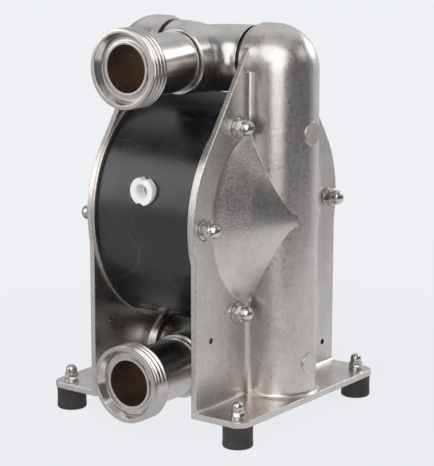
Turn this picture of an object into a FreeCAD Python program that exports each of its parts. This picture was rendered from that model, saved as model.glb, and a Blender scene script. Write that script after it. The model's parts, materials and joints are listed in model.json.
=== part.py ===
import FreeCAD, Part
import math
import os
import Sketcher
from FreeCAD import Placement, Rotation, Vector

# Air-operated double diaphragm pump. +Z is up, X is the diaphragm axis and the ports face -Y.
# The origin is on the floor, midway between the four feet. All sizes are in millimetres.
SIZES = {
    # heights above the floor
    "foot_height": 18.5,
    "axis_height": 172,
    "outlet_rise": 126,
    "inlet_drop": 129,
    # centre block
    "block_half_width": 48,
    "block_radius": 98,
    "block_flat_inset": 8,
    "block_edge": 1.2,
    "air_chamber_depth": 11,
    "air_chamber_radius": 66,
    # housing plate and foot flange
    "ring_proud": 2,
    "ring_margin": 3,
    "plate_thickness": 5,
    "plate_radius": 101.5,
    "plate_top_radius": 30,
    "plate_half_depth": 99.1,
    "cast_edge": 0.8,
    "flange_thickness": 5,
    "flange_lip": 2.8,
    "flange_corner": 11,
    "cove_radius": 4,
    # cone of the liquid chamber
    "cone_margin": 1,
    "cone_crease_radius": 50,
    "cone_crease_rise": 18,
    "cone_tip_radius": 15,
    "cone_tip_rise": 39,
    "cone_wall": 6,
    "chamber_mouth_radius": 66,
    # valve column, elbows and stubs
    "column_radius": 30.5,
    "column_offset": 67,
    "column_cove": 5,
    "elbow_bend": 7,
    "column_wall": 4.5,
    "flow_radius": 19,
    "stub_length": 6,
    "stub_radius": 28.5,
    "boss_radius": 9.75,
    "boss_proud": 0.3,
    "upper_boss_height": 241.6,
    "lower_boss_height": 50,
    # small plain holes in each plate
    "plate_hole_radius": 2.25,
    "front_hole_inset": 19.6,
    "front_hole_height": 79.4,
    "rear_hole_inset": 16.2,
    "rear_hole_height": 43,
    # tie rods with domed nuts
    "rod_inset": 10,
    "rod_radius": 4,
    "rod_clearance": 0.4,
    "rod_count": 6,
    "spotface_radius": 9,
    "spotface_depth": 1,
    "rod_washer_radius": 8,
    "rod_washer_thickness": 1.6,
    "rod_nut_flats": 13,
    "rod_nut_hex_height": 6.5,
    "rod_nut_height": 15,
    "rod_nut_dome_radius": 6.25,
    "rod_nut_bore_depth": 11,
    # rubber feet
    "foot_radius": 12.5,
    "foot_inset_across": 12.9,
    "foot_inset_depth": 12.1,
    "foot_round": 0.8,
    "stud_radius": 3,
    "stud_clearance": 0.3,
    "stud_embedded": 6,
    "insert_radius": 5,
    "insert_bore_radius": 2.5,
    "insert_length": 8,
    "foot_washer_radius": 6,
    "foot_washer_thickness": 1.6,
    "foot_nut_flats": 10,
    "foot_nut_hex_height": 5,
    "foot_nut_height": 12,
    "foot_nut_dome_radius": 4.75,
    "foot_nut_bore_depth": 8,
    # swept tees and their seals
    "seal_width": 4,
    "seal_radius": 26.5,
    "swivel_clearance": 0.05,
    "tee_radius": 27.5,
    "tee_bore_radius": 20,
    "tee_branch_reach": 53,
    "tee_edge": 1,
    "spigot_length": 8,
    "spigot_radius": 22.5,
    "port_seal_width": 1.5,
    "port_seal_radius": 24,
    # dairy unions
    "union_tube_radius": 24.5,
    "union_reach": 122,
    "union_collar": 18.5,
    "thread_root_radius": 30.4,
    "thread_crest_radius": 32.5,
    "thread_pitch": 4.233,
    "thread_turns": 4,
    "thread_start": 1.6,
    "union_lip_radius": 31.8,
    "union_lip_inner": 28.2,
    "union_recess_depth": 6.5,
    "union_seat_radius": 25,
    "union_seat_lip_radius": 21.5,
    "union_seat_lip_rise": 1.5,
    # check valves
    "ball_radius": 15.5,
    "seat_bore_radius": 11.5,
    "seat_radius": 20.5,
    "seat_height": 9,
    "suction_seat_height": 64,
    "ball_lift": 8,
    "stop_gap": 0.2,
    "stop_pin_radius": 3,
    "stop_pin_length": 28,
    "stop_pin_embedded": 2.5,
    # diaphragms and shaft
    "bead_margin": 7,
    "bead_recess": 2,
    "bead_clearance": 0.3,
    "membrane_thickness": 3,
    "hub_radius": 45,
    "hub_inset": 2,
    "hub_thickness": 8,
    "core_radius": 28,
    "core_thickness": 3,
    "core_cover": 2,
    "core_stud_radius": 5,
    "core_stud_length": 18,
    "shaft_radius": 10,
    "running_clearance": 0.05,
    "shaft_seal_radius": 12.5,
    "shaft_seal_width": 4,
    "shaft_seal_offset": 25,
    # air valve
    "valve_rise": 26,
    "sleeve_radius": 12,
    "sleeve_bore_radius": 8,
    "sleeve_half_length": 34,
    "sleeve_port_radius": 3,
    "spool_half_length": 24,
    "spool_land": 8,
    "spool_waist_radius": 5,
    "cap_thickness": 4,
    # air inlet adapter and exhaust silencer
    "adapter_inset": 5,
    "adapter_radius": 11.5,
    "adapter_thickness": 6.5,
    "adapter_thread_radius": 8,
    "adapter_thread_length": 12,
    "adapter_bore_radius": 5.7,
    "adapter_bore_depth": 9,
    "adapter_drill_radius": 3.75,
    "adapter_notch_width": 4,
    "adapter_notch_depth": 2.2,
    "silencer_thread_radius": 10.5,
    "silencer_thread_length": 14,
    "silencer_collar_radius": 14,
    "silencer_collar_length": 7,
    "silencer_radius": 12.5,
    "silencer_length": 52,
    "silencer_bore_radius": 7,
    "silencer_wall": 3,
}


class Size:
    """A number that also knows the sheet formula it comes from."""

    def __init__(self, value, formula):
        self.value = float(value)
        self.formula = formula

    @staticmethod
    def of(number):
        return number if isinstance(number, Size) else Size(number, repr(float(number)))

    def joined(self, sign, other, value):
        return Size(value, f"({self.formula} {sign} {other.formula})")

    def __add__(self, other):
        other = Size.of(other)
        return self.joined("+", other, self.value + other.value)

    def __sub__(self, other):
        other = Size.of(other)
        return self.joined("-", other, self.value - other.value)

    def __mul__(self, other):
        other = Size.of(other)
        return self.joined("*", other, self.value * other.value)

    def __truediv__(self, other):
        other = Size.of(other)
        return self.joined("/", other, self.value / other.value)

    def __neg__(self):
        return Size(0, "0") - self

    __radd__ = __add__

    def __rsub__(self, other):
        return Size.of(other) - self

    __rmul__ = __mul__


def root(size):
    """The square root of a size."""
    return Size(math.sqrt(size.value), f"sqrt({size.formula})")


class Sheet:
    """The driving dimensions, one alias for each, as attributes."""

    def __init__(self, document, sizes):
        table = document.addObject("Spreadsheet::Sheet", "Sizes")
        table.Label = "Sizes"
        for row, (alias, number) in enumerate(sizes.items(), start=1):
            table.set(f"A{row}", alias.replace("_", " "))
            table.set(f"B{row}", str(number))
            table.setAlias(f"B{row}", alias)
            setattr(self, alias, Size(number, f"<<Sizes>>.{alias}"))


doc = FreeCAD.newDocument("DiaphragmPump")
s = Sheet(doc, SIZES)
doc.recompute()

PARTS = {}
X_AXIS = Vector(1, 0, 0)
Y_AXIS = Vector(0, 1, 0)
Z_AXIS = Vector(0, 0, 1)
ALONG_X = Rotation(Z_AXIS, X_AXIS)
ALONG_Y = Rotation(Z_AXIS, Y_AXIS)
ALONG_MINUS_Y = Rotation(Z_AXIS, -Y_AXIS)
ALONG_MINUS_X = Rotation(Z_AXIS, -X_AXIS)
NO_TURN = Rotation()
# A corner rounded by this share of its radius is all but a hemisphere.
FULL_ROUND = 0.98
# A cutting shape reaches past what it cuts by this factor.
BEYOND = 1.1
TINY = 1e-9
DECIMALS = 12

# Derived places, each a formula of the sheet's sizes.
outlet_height = s.axis_height + s.outlet_rise
inlet_height = s.axis_height - s.inlet_drop
plate_inner = s.block_half_width + s.ring_proud
plate_outer = plate_inner + s.plate_thickness
flange_top = s.foot_height + s.flange_thickness
stub_end = plate_inner - s.stub_length
tee_end = stub_end - s.seal_width
column_face = s.column_offset + s.column_radius
flange_reach = column_face + s.flange_lip
foot_offset_across = flange_reach - s.foot_inset_across
foot_offset_depth = s.plate_half_depth - s.foot_inset_depth
ring_radius = s.block_radius + s.ring_margin
rod_circle_radius = s.block_radius - s.rod_inset
adapter_seat = s.block_radius - s.adapter_inset
block_flat = s.block_radius - s.block_flat_inset
cone_base_radius = rod_circle_radius - s.spotface_radius - s.cone_margin
bead_radius = rod_circle_radius - s.rod_radius - s.bead_margin
flow_offset = column_face - s.column_wall - s.flow_radius
elbow_x = s.column_offset - s.elbow_bend
elbow_z = outlet_height - s.elbow_bend
chamber_floor = s.block_half_width - s.air_chamber_depth
discharge_seat_height = s.upper_boss_height - s.seat_height / 2
ball_rise = root(s.ball_radius * s.ball_radius - s.seat_bore_radius * s.seat_bore_radius)
valve_height = s.axis_height + s.valve_rise
bead_seat = bead_radius + s.bead_clearance
stop_rise = s.seat_height + ball_rise + s.ball_radius + s.ball_lift + s.stop_gap + s.stop_pin_radius
suction_pin_height = s.suction_seat_height + stop_rise
discharge_pin_height = discharge_seat_height + stop_rise


def bind(thing, **properties):
    """Set properties, a Size as a formula of the sheet and anything else as it is."""
    for name, value in properties.items():
        if isinstance(value, Size):
            thing.setExpression(name, value.formula)
        else:
            setattr(thing, name, value)


def place(thing, x=0, y=0, z=0, turn=NO_TURN):
    """Give an object its Placement, with each coordinate bound to the sheet."""
    thing.Placement = Placement(Vector(), turn)
    for axis, value in (("x", x), ("y", y), ("z", z)):
        thing.setExpression(f"Placement.Base.{axis}", Size.of(value).formula)
    return thing


def keep(thing, label):
    """Name an object as a sub-part that is written to its own file."""
    thing.Label = label
    PARTS[label] = thing
    return thing


def new_body(label):
    return doc.addObject("PartDesign::Body", label)


def new_sketch(body, role, name, across=0, up=0, out=0):
    """Attach a sketch to one of the body's origin planes, moved by three sizes in its own axes."""
    sketch = body.newObject("Sketcher::SketchObject", name)
    support = [plane for plane in body.Origin.OriginFeatures if plane.Role == role][0]
    sketch.AttachmentSupport = [(support, "")]
    sketch.MapMode = "FlatFace"
    for axis, value in (("x", across), ("y", up), ("z", out)):
        sketch.setExpression(f"AttachmentOffset.Base.{axis}", Size.of(value).formula)
    return sketch


def pin_point(sketch, geometry, position, u, v):
    """Hold a sketch point at (u, v) from the sketch's origin."""
    for kind, axis, value in (("DistanceX", -2, Size.of(u)), ("DistanceY", -1, Size.of(v))):
        if abs(value.value) < TINY:
            sketch.addConstraint(Sketcher.Constraint("PointOnObject", geometry, position, axis))
            continue
        limit = Sketcher.Constraint(kind, -1, 1, geometry, position, value.value)
        index = sketch.addConstraint(limit)
        sketch.setExpression(f"Constraints[{index}]", value.formula)


def set_radius(sketch, geometry, radius):
    index = sketch.addConstraint(Sketcher.Constraint("Radius", geometry, radius.value))
    sketch.setExpression(f"Constraints[{index}]", radius.formula)


def draw_circle(sketch, u, v, radius):
    radius = Size.of(radius)
    centre = Vector(Size.of(u).value, Size.of(v).value, 0)
    ring = sketch.addGeometry(Part.Circle(centre, Z_AXIS, radius.value), False)
    pin_point(sketch, ring, 3, u, v)
    set_radius(sketch, ring, radius)
    return ring


def heading(start, end):
    """The unit vector from one corner to the next, as two sizes."""
    across, up = end[0] - start[0], end[1] - start[1]
    if abs(across.value) < TINY:
        return Size.of(0), Size.of(math.copysign(1, up.value))
    if abs(up.value) < TINY:
        return Size.of(math.copysign(1, across.value)), Size.of(0)
    length = root(across * across + up * up)
    return across / length, up / length


def rounded_corner(before, corner, after, radius):
    """Where an arc at a corner starts and ends, its centre, and whether it turns left."""
    came, goes = heading(before, corner), heading(corner, after)
    dot = came[0] * goes[0] + came[1] * goes[1]
    cross = came[0] * goes[1] - came[1] * goes[0]
    left = cross.value > 0
    trim = radius * (cross if left else -cross) / (dot + 1)
    start = (corner[0] - came[0] * trim, corner[1] - came[1] * trim)
    end = (corner[0] + goes[0] * trim, corner[1] + goes[1] * trim)
    side = radius.value if left else -radius.value
    centre = Vector(start[0].value - came[1].value * side, start[1].value + came[0].value * side, 0)
    return start, end, centre, left


def draw_outline(sketch, corners):
    """Draw a closed profile through the corners, rounded where a corner has a radius."""
    points = [(Size.of(corner[0]), Size.of(corner[1])) for corner in corners]
    count = len(corners)
    starts, ends, arcs = list(points), list(points), {}
    for i, corner in enumerate(corners):
        if len(corner) < 3:
            continue
        radius = Size.of(corner[2])
        starts[i], ends[i], centre, left = rounded_corner(
            points[i - 1], points[i], points[(i + 1) % count], radius)
        tips = (starts[i], ends[i]) if left else (ends[i], starts[i])
        angles = [math.atan2(v.value - centre.y, u.value - centre.x) for u, v in tips]
        arc = sketch.addGeometry(Part.ArcOfCircle(Part.Circle(centre, Z_AXIS, radius.value), *angles), False)
        set_radius(sketch, arc, radius)
        arcs[i] = (arc, (1, 2) if left else (2, 1))
    lines = []
    for i in range(count):
        (u, v), (next_u, next_v) = ends[i], starts[(i + 1) % count]
        side = Part.LineSegment(Vector(u.value, v.value, 0), Vector(next_u.value, next_v.value, 0))
        lines.append(sketch.addGeometry(side, False))
        pin_point(sketch, lines[i], 1, u, v)
    for i in range(count):
        before, after = lines[i - 1], lines[i]
        if i not in arcs:
            sketch.addConstraint(Sketcher.Constraint("Coincident", before, 2, after, 1))
            continue
        arc, (first, last) = arcs[i]
        pin_point(sketch, before, 2, *starts[i])
        sketch.addConstraint(Sketcher.Constraint("Coincident", before, 2, arc, first))
        sketch.addConstraint(Sketcher.Constraint("Coincident", after, 1, arc, last))
    return sketch


def feature(body, kind, name, sketch, **properties):
    """Add a sketch-based feature to a body."""
    made = body.newObject(f"PartDesign::{kind}", name)
    made.Profile = sketch
    bind(made, **properties)
    sketch.Visibility = False
    return made


def pad(body, name, sketch, length, **properties):
    return feature(body, "Pad", name, sketch, Length=length, **properties)


def pocket(body, name, sketch, depth, **properties):
    return feature(body, "Pocket", name, sketch, Length=depth, **properties)


def revolve(body, name, sketch, axis, angle=360, **properties):
    return feature(body, "Revolution", name, sketch, ReferenceAxis=(sketch, [axis]),
                   Angle=angle, **properties)


def groove(body, name, sketch, axis):
    return feature(body, "Groove", name, sketch, ReferenceAxis=(sketch, [axis]), Angle=360)


def turned(label, corners):
    """A turned piece: its profile is (radius, height) and its axis is local Z."""
    body = new_body(label)
    sketch = draw_outline(new_sketch(body, "XZ_Plane", f"{label}_profile"), corners)
    revolve(body, f"{label}_turning", sketch, "V_Axis")
    return body


def copies(label, source, places):
    """One sub-part of several equal pieces: links to the source, each with its own place."""
    links = []
    for index, (x, y, z, turn) in enumerate(places):
        link = doc.addObject("App::Link", f"{label}_{index + 1}")
        link.LinkedObject = source
        links.append(place(link, x, y, z, turn))
    group = doc.addObject("Part::Compound", f"{label}_set")
    group.Links = links
    return keep(group, label)


def edges_on(shape, test):
    """Names of the edges whose every sampled point passes the test."""
    names = []
    for index, edge in enumerate(shape.Edges, start=1):
        points = edge.discretize(Number=5)
        if all(test(point) for point in points):
            names.append(f"Edge{index}")
    return names


def round_edges(body, base, name, radius, test):
    """Round the edges of the last feature that pass the test."""
    doc.recompute()
    fillet = body.newObject("PartDesign::Fillet", name)
    fillet.Base = (base, edges_on(base.Shape, test))
    bind(fillet, Radius=radius)
    return fillet


def near(value, size):
    return abs(value - Size.of(size).value) < 1e-4


# Housing: one casting on each side, with the plate, cone, valve column, elbows and foot flange.

def tie_rod_angles():
    step = 360 / round(s.rod_count.value)
    return [step * index for index in range(round(s.rod_count.value))]


def draw_belt(sketch, low, low_radius, high, high_radius):
    """An outline of two arcs joined by their outer tangents, the larger below."""
    lean = math.asin((low_radius.value - high_radius.value) / (high - low).value)
    tilt = Vector(math.cos(lean), math.sin(lean), 0)
    mirrored = Vector(-tilt.x, tilt.y, 0)
    bottom = Vector(0, low.value, 0)
    top = Vector(0, high.value, 0)
    big = Part.ArcOfCircle(Part.Circle(bottom, Z_AXIS, low_radius.value), math.pi - lean, lean)
    small = Part.ArcOfCircle(Part.Circle(top, Z_AXIS, high_radius.value), lean, math.pi - lean)
    right = Part.LineSegment(bottom + tilt * low_radius.value, top + tilt * high_radius.value)
    left = Part.LineSegment(top + mirrored * high_radius.value, bottom + mirrored * low_radius.value)
    first, line, last, back = [sketch.addGeometry(part, False) for part in (big, right, small, left)]
    for a, a_end, b, b_end in ((first, 2, line, 1), (line, 2, last, 1), (last, 2, back, 1), (back, 2, first, 1)):
        sketch.addConstraint(Sketcher.Constraint("Tangent", a, a_end, b, b_end))
    pin_point(sketch, first, 3, 0, low)
    pin_point(sketch, last, 3, 0, high)
    set_radius(sketch, first, low_radius)
    set_radius(sketch, last, high_radius)
    return sketch


def draw_column_section(sketch):
    """The column's round front, coved into the plate's outer face, with its flat back in the plate."""
    reach = s.column_radius + s.column_cove
    across = s.column_offset - plate_outer - s.column_cove
    cove_side = root(reach * reach - across * across)
    cove_x = (plate_outer + s.column_cove).value
    centre = Vector(s.column_offset.value, 0, 0)
    radius = s.column_radius.value
    low = Vector(cove_x, -cove_side.value, 0)
    high = Vector(cove_x, cove_side.value, 0)
    lean = math.atan2(cove_side.value, cove_x - centre.x)
    toward = Vector(math.cos(lean), math.sin(lean), 0)
    meet_high = centre + toward * radius
    meet_low = Vector(meet_high.x, -meet_high.y, 0)
    front = Part.ArcOfCircle(Part.Circle(centre, Z_AXIS, radius), -lean, lean)
    high_cove = Part.ArcOfCircle(Part.Circle(high, Z_AXIS, s.column_cove.value), math.pi, lean + math.pi)
    low_cove = Part.ArcOfCircle(Part.Circle(low, Z_AXIS, s.column_cove.value), math.pi - lean, math.pi)
    back_high = Vector(plate_outer.value, high.y, 0)
    back_low = Vector(plate_outer.value, low.y, 0)
    inner_high = Vector(plate_inner.value, high.y, 0)
    inner_low = Vector(plate_inner.value, low.y, 0)
    parts = [front, high_cove, low_cove, Part.LineSegment(back_high, inner_high),
             Part.LineSegment(inner_high, inner_low), Part.LineSegment(inner_low, back_low)]
    front, high_cove, low_cove, top, back, bottom = [sketch.addGeometry(part, False) for part in parts]
    sketch.addConstraint(Sketcher.Constraint("Tangent", front, 2, high_cove, 2))
    sketch.addConstraint(Sketcher.Constraint("Tangent", front, 1, low_cove, 1))
    sketch.addConstraint(Sketcher.Constraint("Coincident", high_cove, 1, top, 1))
    sketch.addConstraint(Sketcher.Constraint("Coincident", top, 2, back, 1))
    sketch.addConstraint(Sketcher.Constraint("Coincident", back, 2, bottom, 1))
    sketch.addConstraint(Sketcher.Constraint("Coincident", bottom, 2, low_cove, 2))
    pin_point(sketch, front, 3, s.column_offset, 0)
    set_radius(sketch, front, s.column_radius)
    pin_point(sketch, high_cove, 3, plate_outer + s.column_cove, cove_side)
    pin_point(sketch, low_cove, 3, plate_outer + s.column_cove, -cove_side)
    sketch.addConstraint(Sketcher.Constraint("Horizontal", top))
    sketch.addConstraint(Sketcher.Constraint("Horizontal", bottom))
    pin_point(sketch, back, 1, plate_inner, cove_side)
    pin_point(sketch, back, 2, plate_inner, -cove_side)
    return sketch


def make_housing():
    body = new_body("right_housing")
    web = draw_belt(new_sketch(body, "YZ_Plane", "web_outline", out=plate_inner),
                    s.axis_height, s.plate_radius, outlet_height, s.plate_top_radius)
    pad(body, "web", web, s.plate_thickness)
    skirt = draw_outline(new_sketch(body, "YZ_Plane", "skirt_outline", out=plate_inner), [
        (-s.plate_half_depth, s.foot_height),
        (s.plate_half_depth, s.foot_height),
        (s.plate_half_depth, s.axis_height),
        (-s.plate_half_depth, s.axis_height),
    ])
    plate = pad(body, "skirt", skirt, s.plate_thickness)

    flange = draw_outline(new_sketch(body, "XY_Plane", "flange_outline", out=s.foot_height), [
        (plate_inner, -s.plate_half_depth),
        (flange_reach, -s.plate_half_depth, s.flange_corner),
        (flange_reach, s.plate_half_depth, s.flange_corner),
        (plate_inner, s.plate_half_depth),
    ])
    flange = pad(body, "foot_flange", flange, s.flange_thickness)

    def on_cast_edge(point):
        on_side = near(point.x, plate_outer) and point.z > flange_top.value - 0.01
        on_top = near(point.z, flange_top) and point.x > plate_outer.value + 0.01
        return on_side or on_top

    rounded = round_edges(body, flange, "cast_edges", s.cast_edge, on_cast_edge)

    cove = draw_outline(new_sketch(body, "XZ_Plane", "flange_cove_outline"), [
        (plate_outer - s.cast_edge, flange_top - s.cast_edge),
        (plate_outer + s.cove_radius * 2, flange_top - s.cast_edge),
        (plate_outer + s.cove_radius * 2, flange_top),
        (plate_outer, flange_top, s.cove_radius),
        (plate_outer, flange_top + s.cove_radius * 2),
        (plate_outer - s.cast_edge, flange_top + s.cove_radius * 2),
    ])
    pad(body, "flange_cove", cove, (s.plate_half_depth - s.cast_edge) * 2, Midplane=True)

    ring_face = s.block_half_width
    cone = draw_outline(new_sketch(body, "XZ_Plane", "cone_profile", up=s.axis_height), [
        (ring_face, 0),
        (ring_face, ring_radius),
        (plate_outer - s.cast_edge, ring_radius),
        (plate_outer - s.cast_edge, cone_base_radius + s.cove_radius * 2),
        (plate_outer, cone_base_radius + s.cove_radius * 2),
        (plate_outer, cone_base_radius, s.cove_radius),
        (plate_outer + s.cone_crease_rise, s.cone_crease_radius),
        (plate_outer + s.cone_tip_rise, s.cone_tip_radius),
        (plate_outer + s.cone_tip_rise, 0),
    ])
    revolve(body, "cone", cone, "H_Axis")

    column = draw_column_section(new_sketch(body, "XY_Plane", "column_section", out=s.foot_height))
    pad(body, "column", column, elbow_z - s.foot_height)

    foot_cove = draw_outline(new_sketch(body, "XZ_Plane", "column_foot_profile", across=s.column_offset), [
        (s.column_radius - s.cast_edge, flange_top - s.cast_edge),
        (s.column_radius + s.cove_radius * BEYOND, flange_top - s.cast_edge),
        (s.column_radius + s.cove_radius * BEYOND, flange_top),
        (s.column_radius, flange_top, s.cove_radius),
        (s.column_radius, flange_top + s.cove_radius * BEYOND),
        (s.column_radius - s.cast_edge, flange_top + s.cove_radius * BEYOND),
    ])
    revolve(body, "column_foot", foot_cove, "V_Axis", angle=200, Midplane=True)
    trim = draw_outline(new_sketch(body, "XZ_Plane", "flange_trim_outline"), [
        (flange_reach, s.foot_height),
        (flange_reach + s.cove_radius * 2, s.foot_height),
        (flange_reach + s.cove_radius * 2, flange_top + s.cove_radius * 2),
        (flange_reach, flange_top + s.cove_radius * 2),
    ])
    pocket(body, "flange_trim", trim, s.column_radius * 2, Midplane=True)

    elbow = new_sketch(body, "XY_Plane", "elbow_section", across=elbow_x, out=elbow_z)
    lean = math.acos(-s.elbow_bend.value / s.column_radius.value)
    half = root(s.column_radius * s.column_radius - s.elbow_bend * s.elbow_bend)
    circle = Part.Circle(Vector(s.elbow_bend.value, 0, 0), Z_AXIS, s.column_radius.value)
    bow = elbow.addGeometry(Part.ArcOfCircle(circle, -lean, lean), False)
    chord = elbow.addGeometry(Part.LineSegment(Vector(0, half.value, 0), Vector(0, -half.value, 0)), False)
    elbow.addConstraint(Sketcher.Constraint("Coincident", bow, 2, chord, 1))
    elbow.addConstraint(Sketcher.Constraint("Coincident", chord, 2, bow, 1))
    elbow.addConstraint(Sketcher.Constraint("PointOnObject", chord, 1, -2))
    elbow.addConstraint(Sketcher.Constraint("PointOnObject", chord, 2, -2))
    pin_point(elbow, bow, 3, s.elbow_bend, 0)
    set_radius(elbow, bow, s.column_radius)
    revolve(body, "elbow", elbow, "V_Axis", angle=90, Reversed=True)

    outlet_stub = draw_outline(new_sketch(body, "XZ_Plane", "outlet_stub_profile", up=outlet_height), [
        (stub_end, 0),
        (stub_end, s.stub_radius),
        (plate_inner, s.column_radius),
        (elbow_x, s.column_radius),
        (elbow_x, 0),
    ])
    revolve(body, "outlet_stub", outlet_stub, "H_Axis")
    inlet_stub = draw_outline(new_sketch(body, "XZ_Plane", "inlet_stub_profile", up=inlet_height), [
        (stub_end, 0),
        (stub_end, s.stub_radius),
        (plate_inner, s.column_radius),
        (plate_inner + s.cast_edge, s.column_radius),
        (plate_inner + s.cast_edge, 0),
    ])
    revolve(body, "inlet_stub", inlet_stub, "H_Axis")

    bosses = new_sketch(body, "YZ_Plane", "boss_circles", out=column_face + s.boss_proud)
    draw_circle(bosses, 0, s.upper_boss_height, s.boss_radius)
    draw_circle(bosses, 0, s.lower_boss_height, s.boss_radius)
    pad(body, "bosses", bosses, s.column_wall, Reversed=True)
    hollow_housing(body)
    drill_housing(body)
    return body


def hollow_housing(body):
    """Open the liquid chamber, the elbows and the valve column with its seat and pin seats."""
    chamber = draw_outline(new_sketch(body, "XZ_Plane", "chamber_profile", up=s.axis_height), [
        (s.block_half_width - s.bead_recess, 0),
        (s.block_half_width - s.bead_recess, bead_seat),
        (plate_inner, bead_seat),
        (plate_inner, s.chamber_mouth_radius),
        (plate_outer, s.chamber_mouth_radius),
        (plate_outer + s.cone_crease_rise - s.cone_wall, s.cone_crease_radius),
        (plate_outer + s.cone_tip_rise - s.cone_wall, s.cone_tip_radius),
        (plate_outer + s.cone_tip_rise - s.cone_wall, 0),
    ])
    groove(body, "liquid_chamber", chamber, "H_Axis")

    round_end = s.flow_radius * FULL_ROUND
    column = draw_outline(new_sketch(body, "XZ_Plane", "column_bore_profile", across=flow_offset), [
        (0, inlet_height - s.flow_radius),
        (s.flow_radius, inlet_height - s.flow_radius, round_end),
        (s.flow_radius, s.suction_seat_height),
        (s.seat_radius, s.suction_seat_height),
        (s.seat_radius, s.suction_seat_height + s.seat_height),
        (s.flow_radius, s.suction_seat_height + s.seat_height),
        (s.flow_radius, discharge_seat_height),
        (s.seat_radius, discharge_seat_height),
        (s.seat_radius, discharge_seat_height + s.seat_height),
        (s.flow_radius, discharge_seat_height + s.seat_height),
        (s.flow_radius, outlet_height + s.flow_radius, round_end),
        (0, outlet_height + s.flow_radius),
    ])
    groove(body, "column_bore", column, "V_Axis")
    for name, height in (("inlet", inlet_height), ("outlet", outlet_height)):
        bore = new_sketch(body, "YZ_Plane", f"{name}_bore_circle", out=stub_end)
        draw_circle(bore, 0, height, s.flow_radius)
        pocket(body, f"{name}_bore", bore, flow_offset - stub_end, Reversed=True)
    pins = new_sketch(body, "YZ_Plane", "stop_pin_circles", out=flow_offset)
    for height in (suction_pin_height, discharge_pin_height):
        draw_circle(pins, 0, height, s.stop_pin_radius)
    pocket(body, "stop_pin_seats", pins, s.flow_radius + s.stop_pin_embedded, Reversed=True)


def drill_housing(body):
    """Drill the tie-rod holes with their spot-faces, the foot holes and the small plate holes."""
    spot = new_sketch(body, "YZ_Plane", "spotface_circle", up=s.axis_height, out=plate_outer)
    draw_circle(spot, rod_circle_radius, 0, s.spotface_radius)
    spot_cut = pocket(body, "spotface", spot, s.spotface_depth)
    rod = new_sketch(body, "YZ_Plane", "rod_hole_circle", up=s.axis_height, out=plate_outer)
    draw_circle(rod, rod_circle_radius, 0, s.rod_radius + s.rod_clearance)
    rod_cut = pocket(body, "rod_hole", rod, s.plate_thickness + s.ring_proud)
    around = body.newObject("PartDesign::PolarPattern", "rod_holes")
    around.Originals = [spot_cut, rod_cut]
    around.Axis = (rod, ["N_Axis"])
    around.Angle = 360
    around.Occurrences = len(tie_rod_angles())
    body.Tip = around

    feet = new_sketch(body, "XY_Plane", "foot_hole_circles", out=flange_top)
    for side in (-1, 1):
        draw_circle(feet, foot_offset_across, foot_offset_depth * side, s.stud_radius + s.stud_clearance)
    pocket(body, "foot_holes", feet, s.flange_thickness)
    small = new_sketch(body, "YZ_Plane", "plate_hole_circles", out=plate_outer)
    draw_circle(small, -(s.plate_half_depth - s.front_hole_inset), s.front_hole_height, s.plate_hole_radius)
    draw_circle(small, s.plate_half_depth - s.rear_hole_inset, s.rear_hole_height, s.plate_hole_radius)
    pocket(body, "plate_holes", small, s.plate_thickness)


# Centre block: a black plastic disc that holds the shaft, the air valve and the tie rods.

def make_block():
    body = new_body("centre_block")
    half = s.block_half_width
    recess = half - s.bead_recess
    bore = s.shaft_radius + s.running_clearance
    groove_out = s.shaft_seal_offset + s.shaft_seal_width / 2
    groove_in = s.shaft_seal_offset - s.shaft_seal_width / 2
    right = [
        (half, s.block_radius, s.block_edge),
        (half, bead_seat),
        (recess, bead_seat),
        (recess, s.chamber_mouth_radius),
        (chamber_floor, s.air_chamber_radius - s.air_chamber_depth / 2),
        (chamber_floor, bore),
        (groove_out, bore),
        (groove_out, s.shaft_seal_radius),
        (groove_in, s.shaft_seal_radius),
        (groove_in, bore),
    ]
    left = [(-corner[0], *corner[1:]) for corner in reversed(right)]
    profile = draw_outline(new_sketch(body, "XZ_Plane", "block_profile", up=s.axis_height), left + right)
    revolve(body, "block", profile, "H_Axis")

    for name, side in (("top", 1), ("bottom", -1)):
        flat = draw_outline(new_sketch(body, "XZ_Plane", f"{name}_flat_outline", up=s.axis_height), [
            (-half * BEYOND, block_flat * side),
            (half * BEYOND, block_flat * side),
            (half * BEYOND, s.block_radius * BEYOND * side),
            (-half * BEYOND, s.block_radius * BEYOND * side),
        ])
        pocket(body, f"{name}_flat", flat, s.block_radius * 2, Midplane=True)
    rod = new_sketch(body, "YZ_Plane", "block_rod_circle", up=s.axis_height)
    draw_circle(rod, rod_circle_radius, 0, s.rod_radius + s.rod_clearance)
    rod_cut = pocket(body, "block_rod_hole", rod, half * 2, Midplane=True)
    around = body.newObject("PartDesign::PolarPattern", "block_rod_holes")
    around.Originals = [rod_cut]
    around.Axis = (rod, ["N_Axis"])
    around.Angle = 360
    around.Occurrences = len(tie_rod_angles())
    body.Tip = around

    valve = new_sketch(body, "YZ_Plane", "valve_bore_circle", up=valve_height)
    draw_circle(valve, 0, 0, s.sleeve_radius)
    pocket(body, "valve_bore", valve, half * 2, Midplane=True)
    cut_air_ports(body)
    return body


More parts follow.
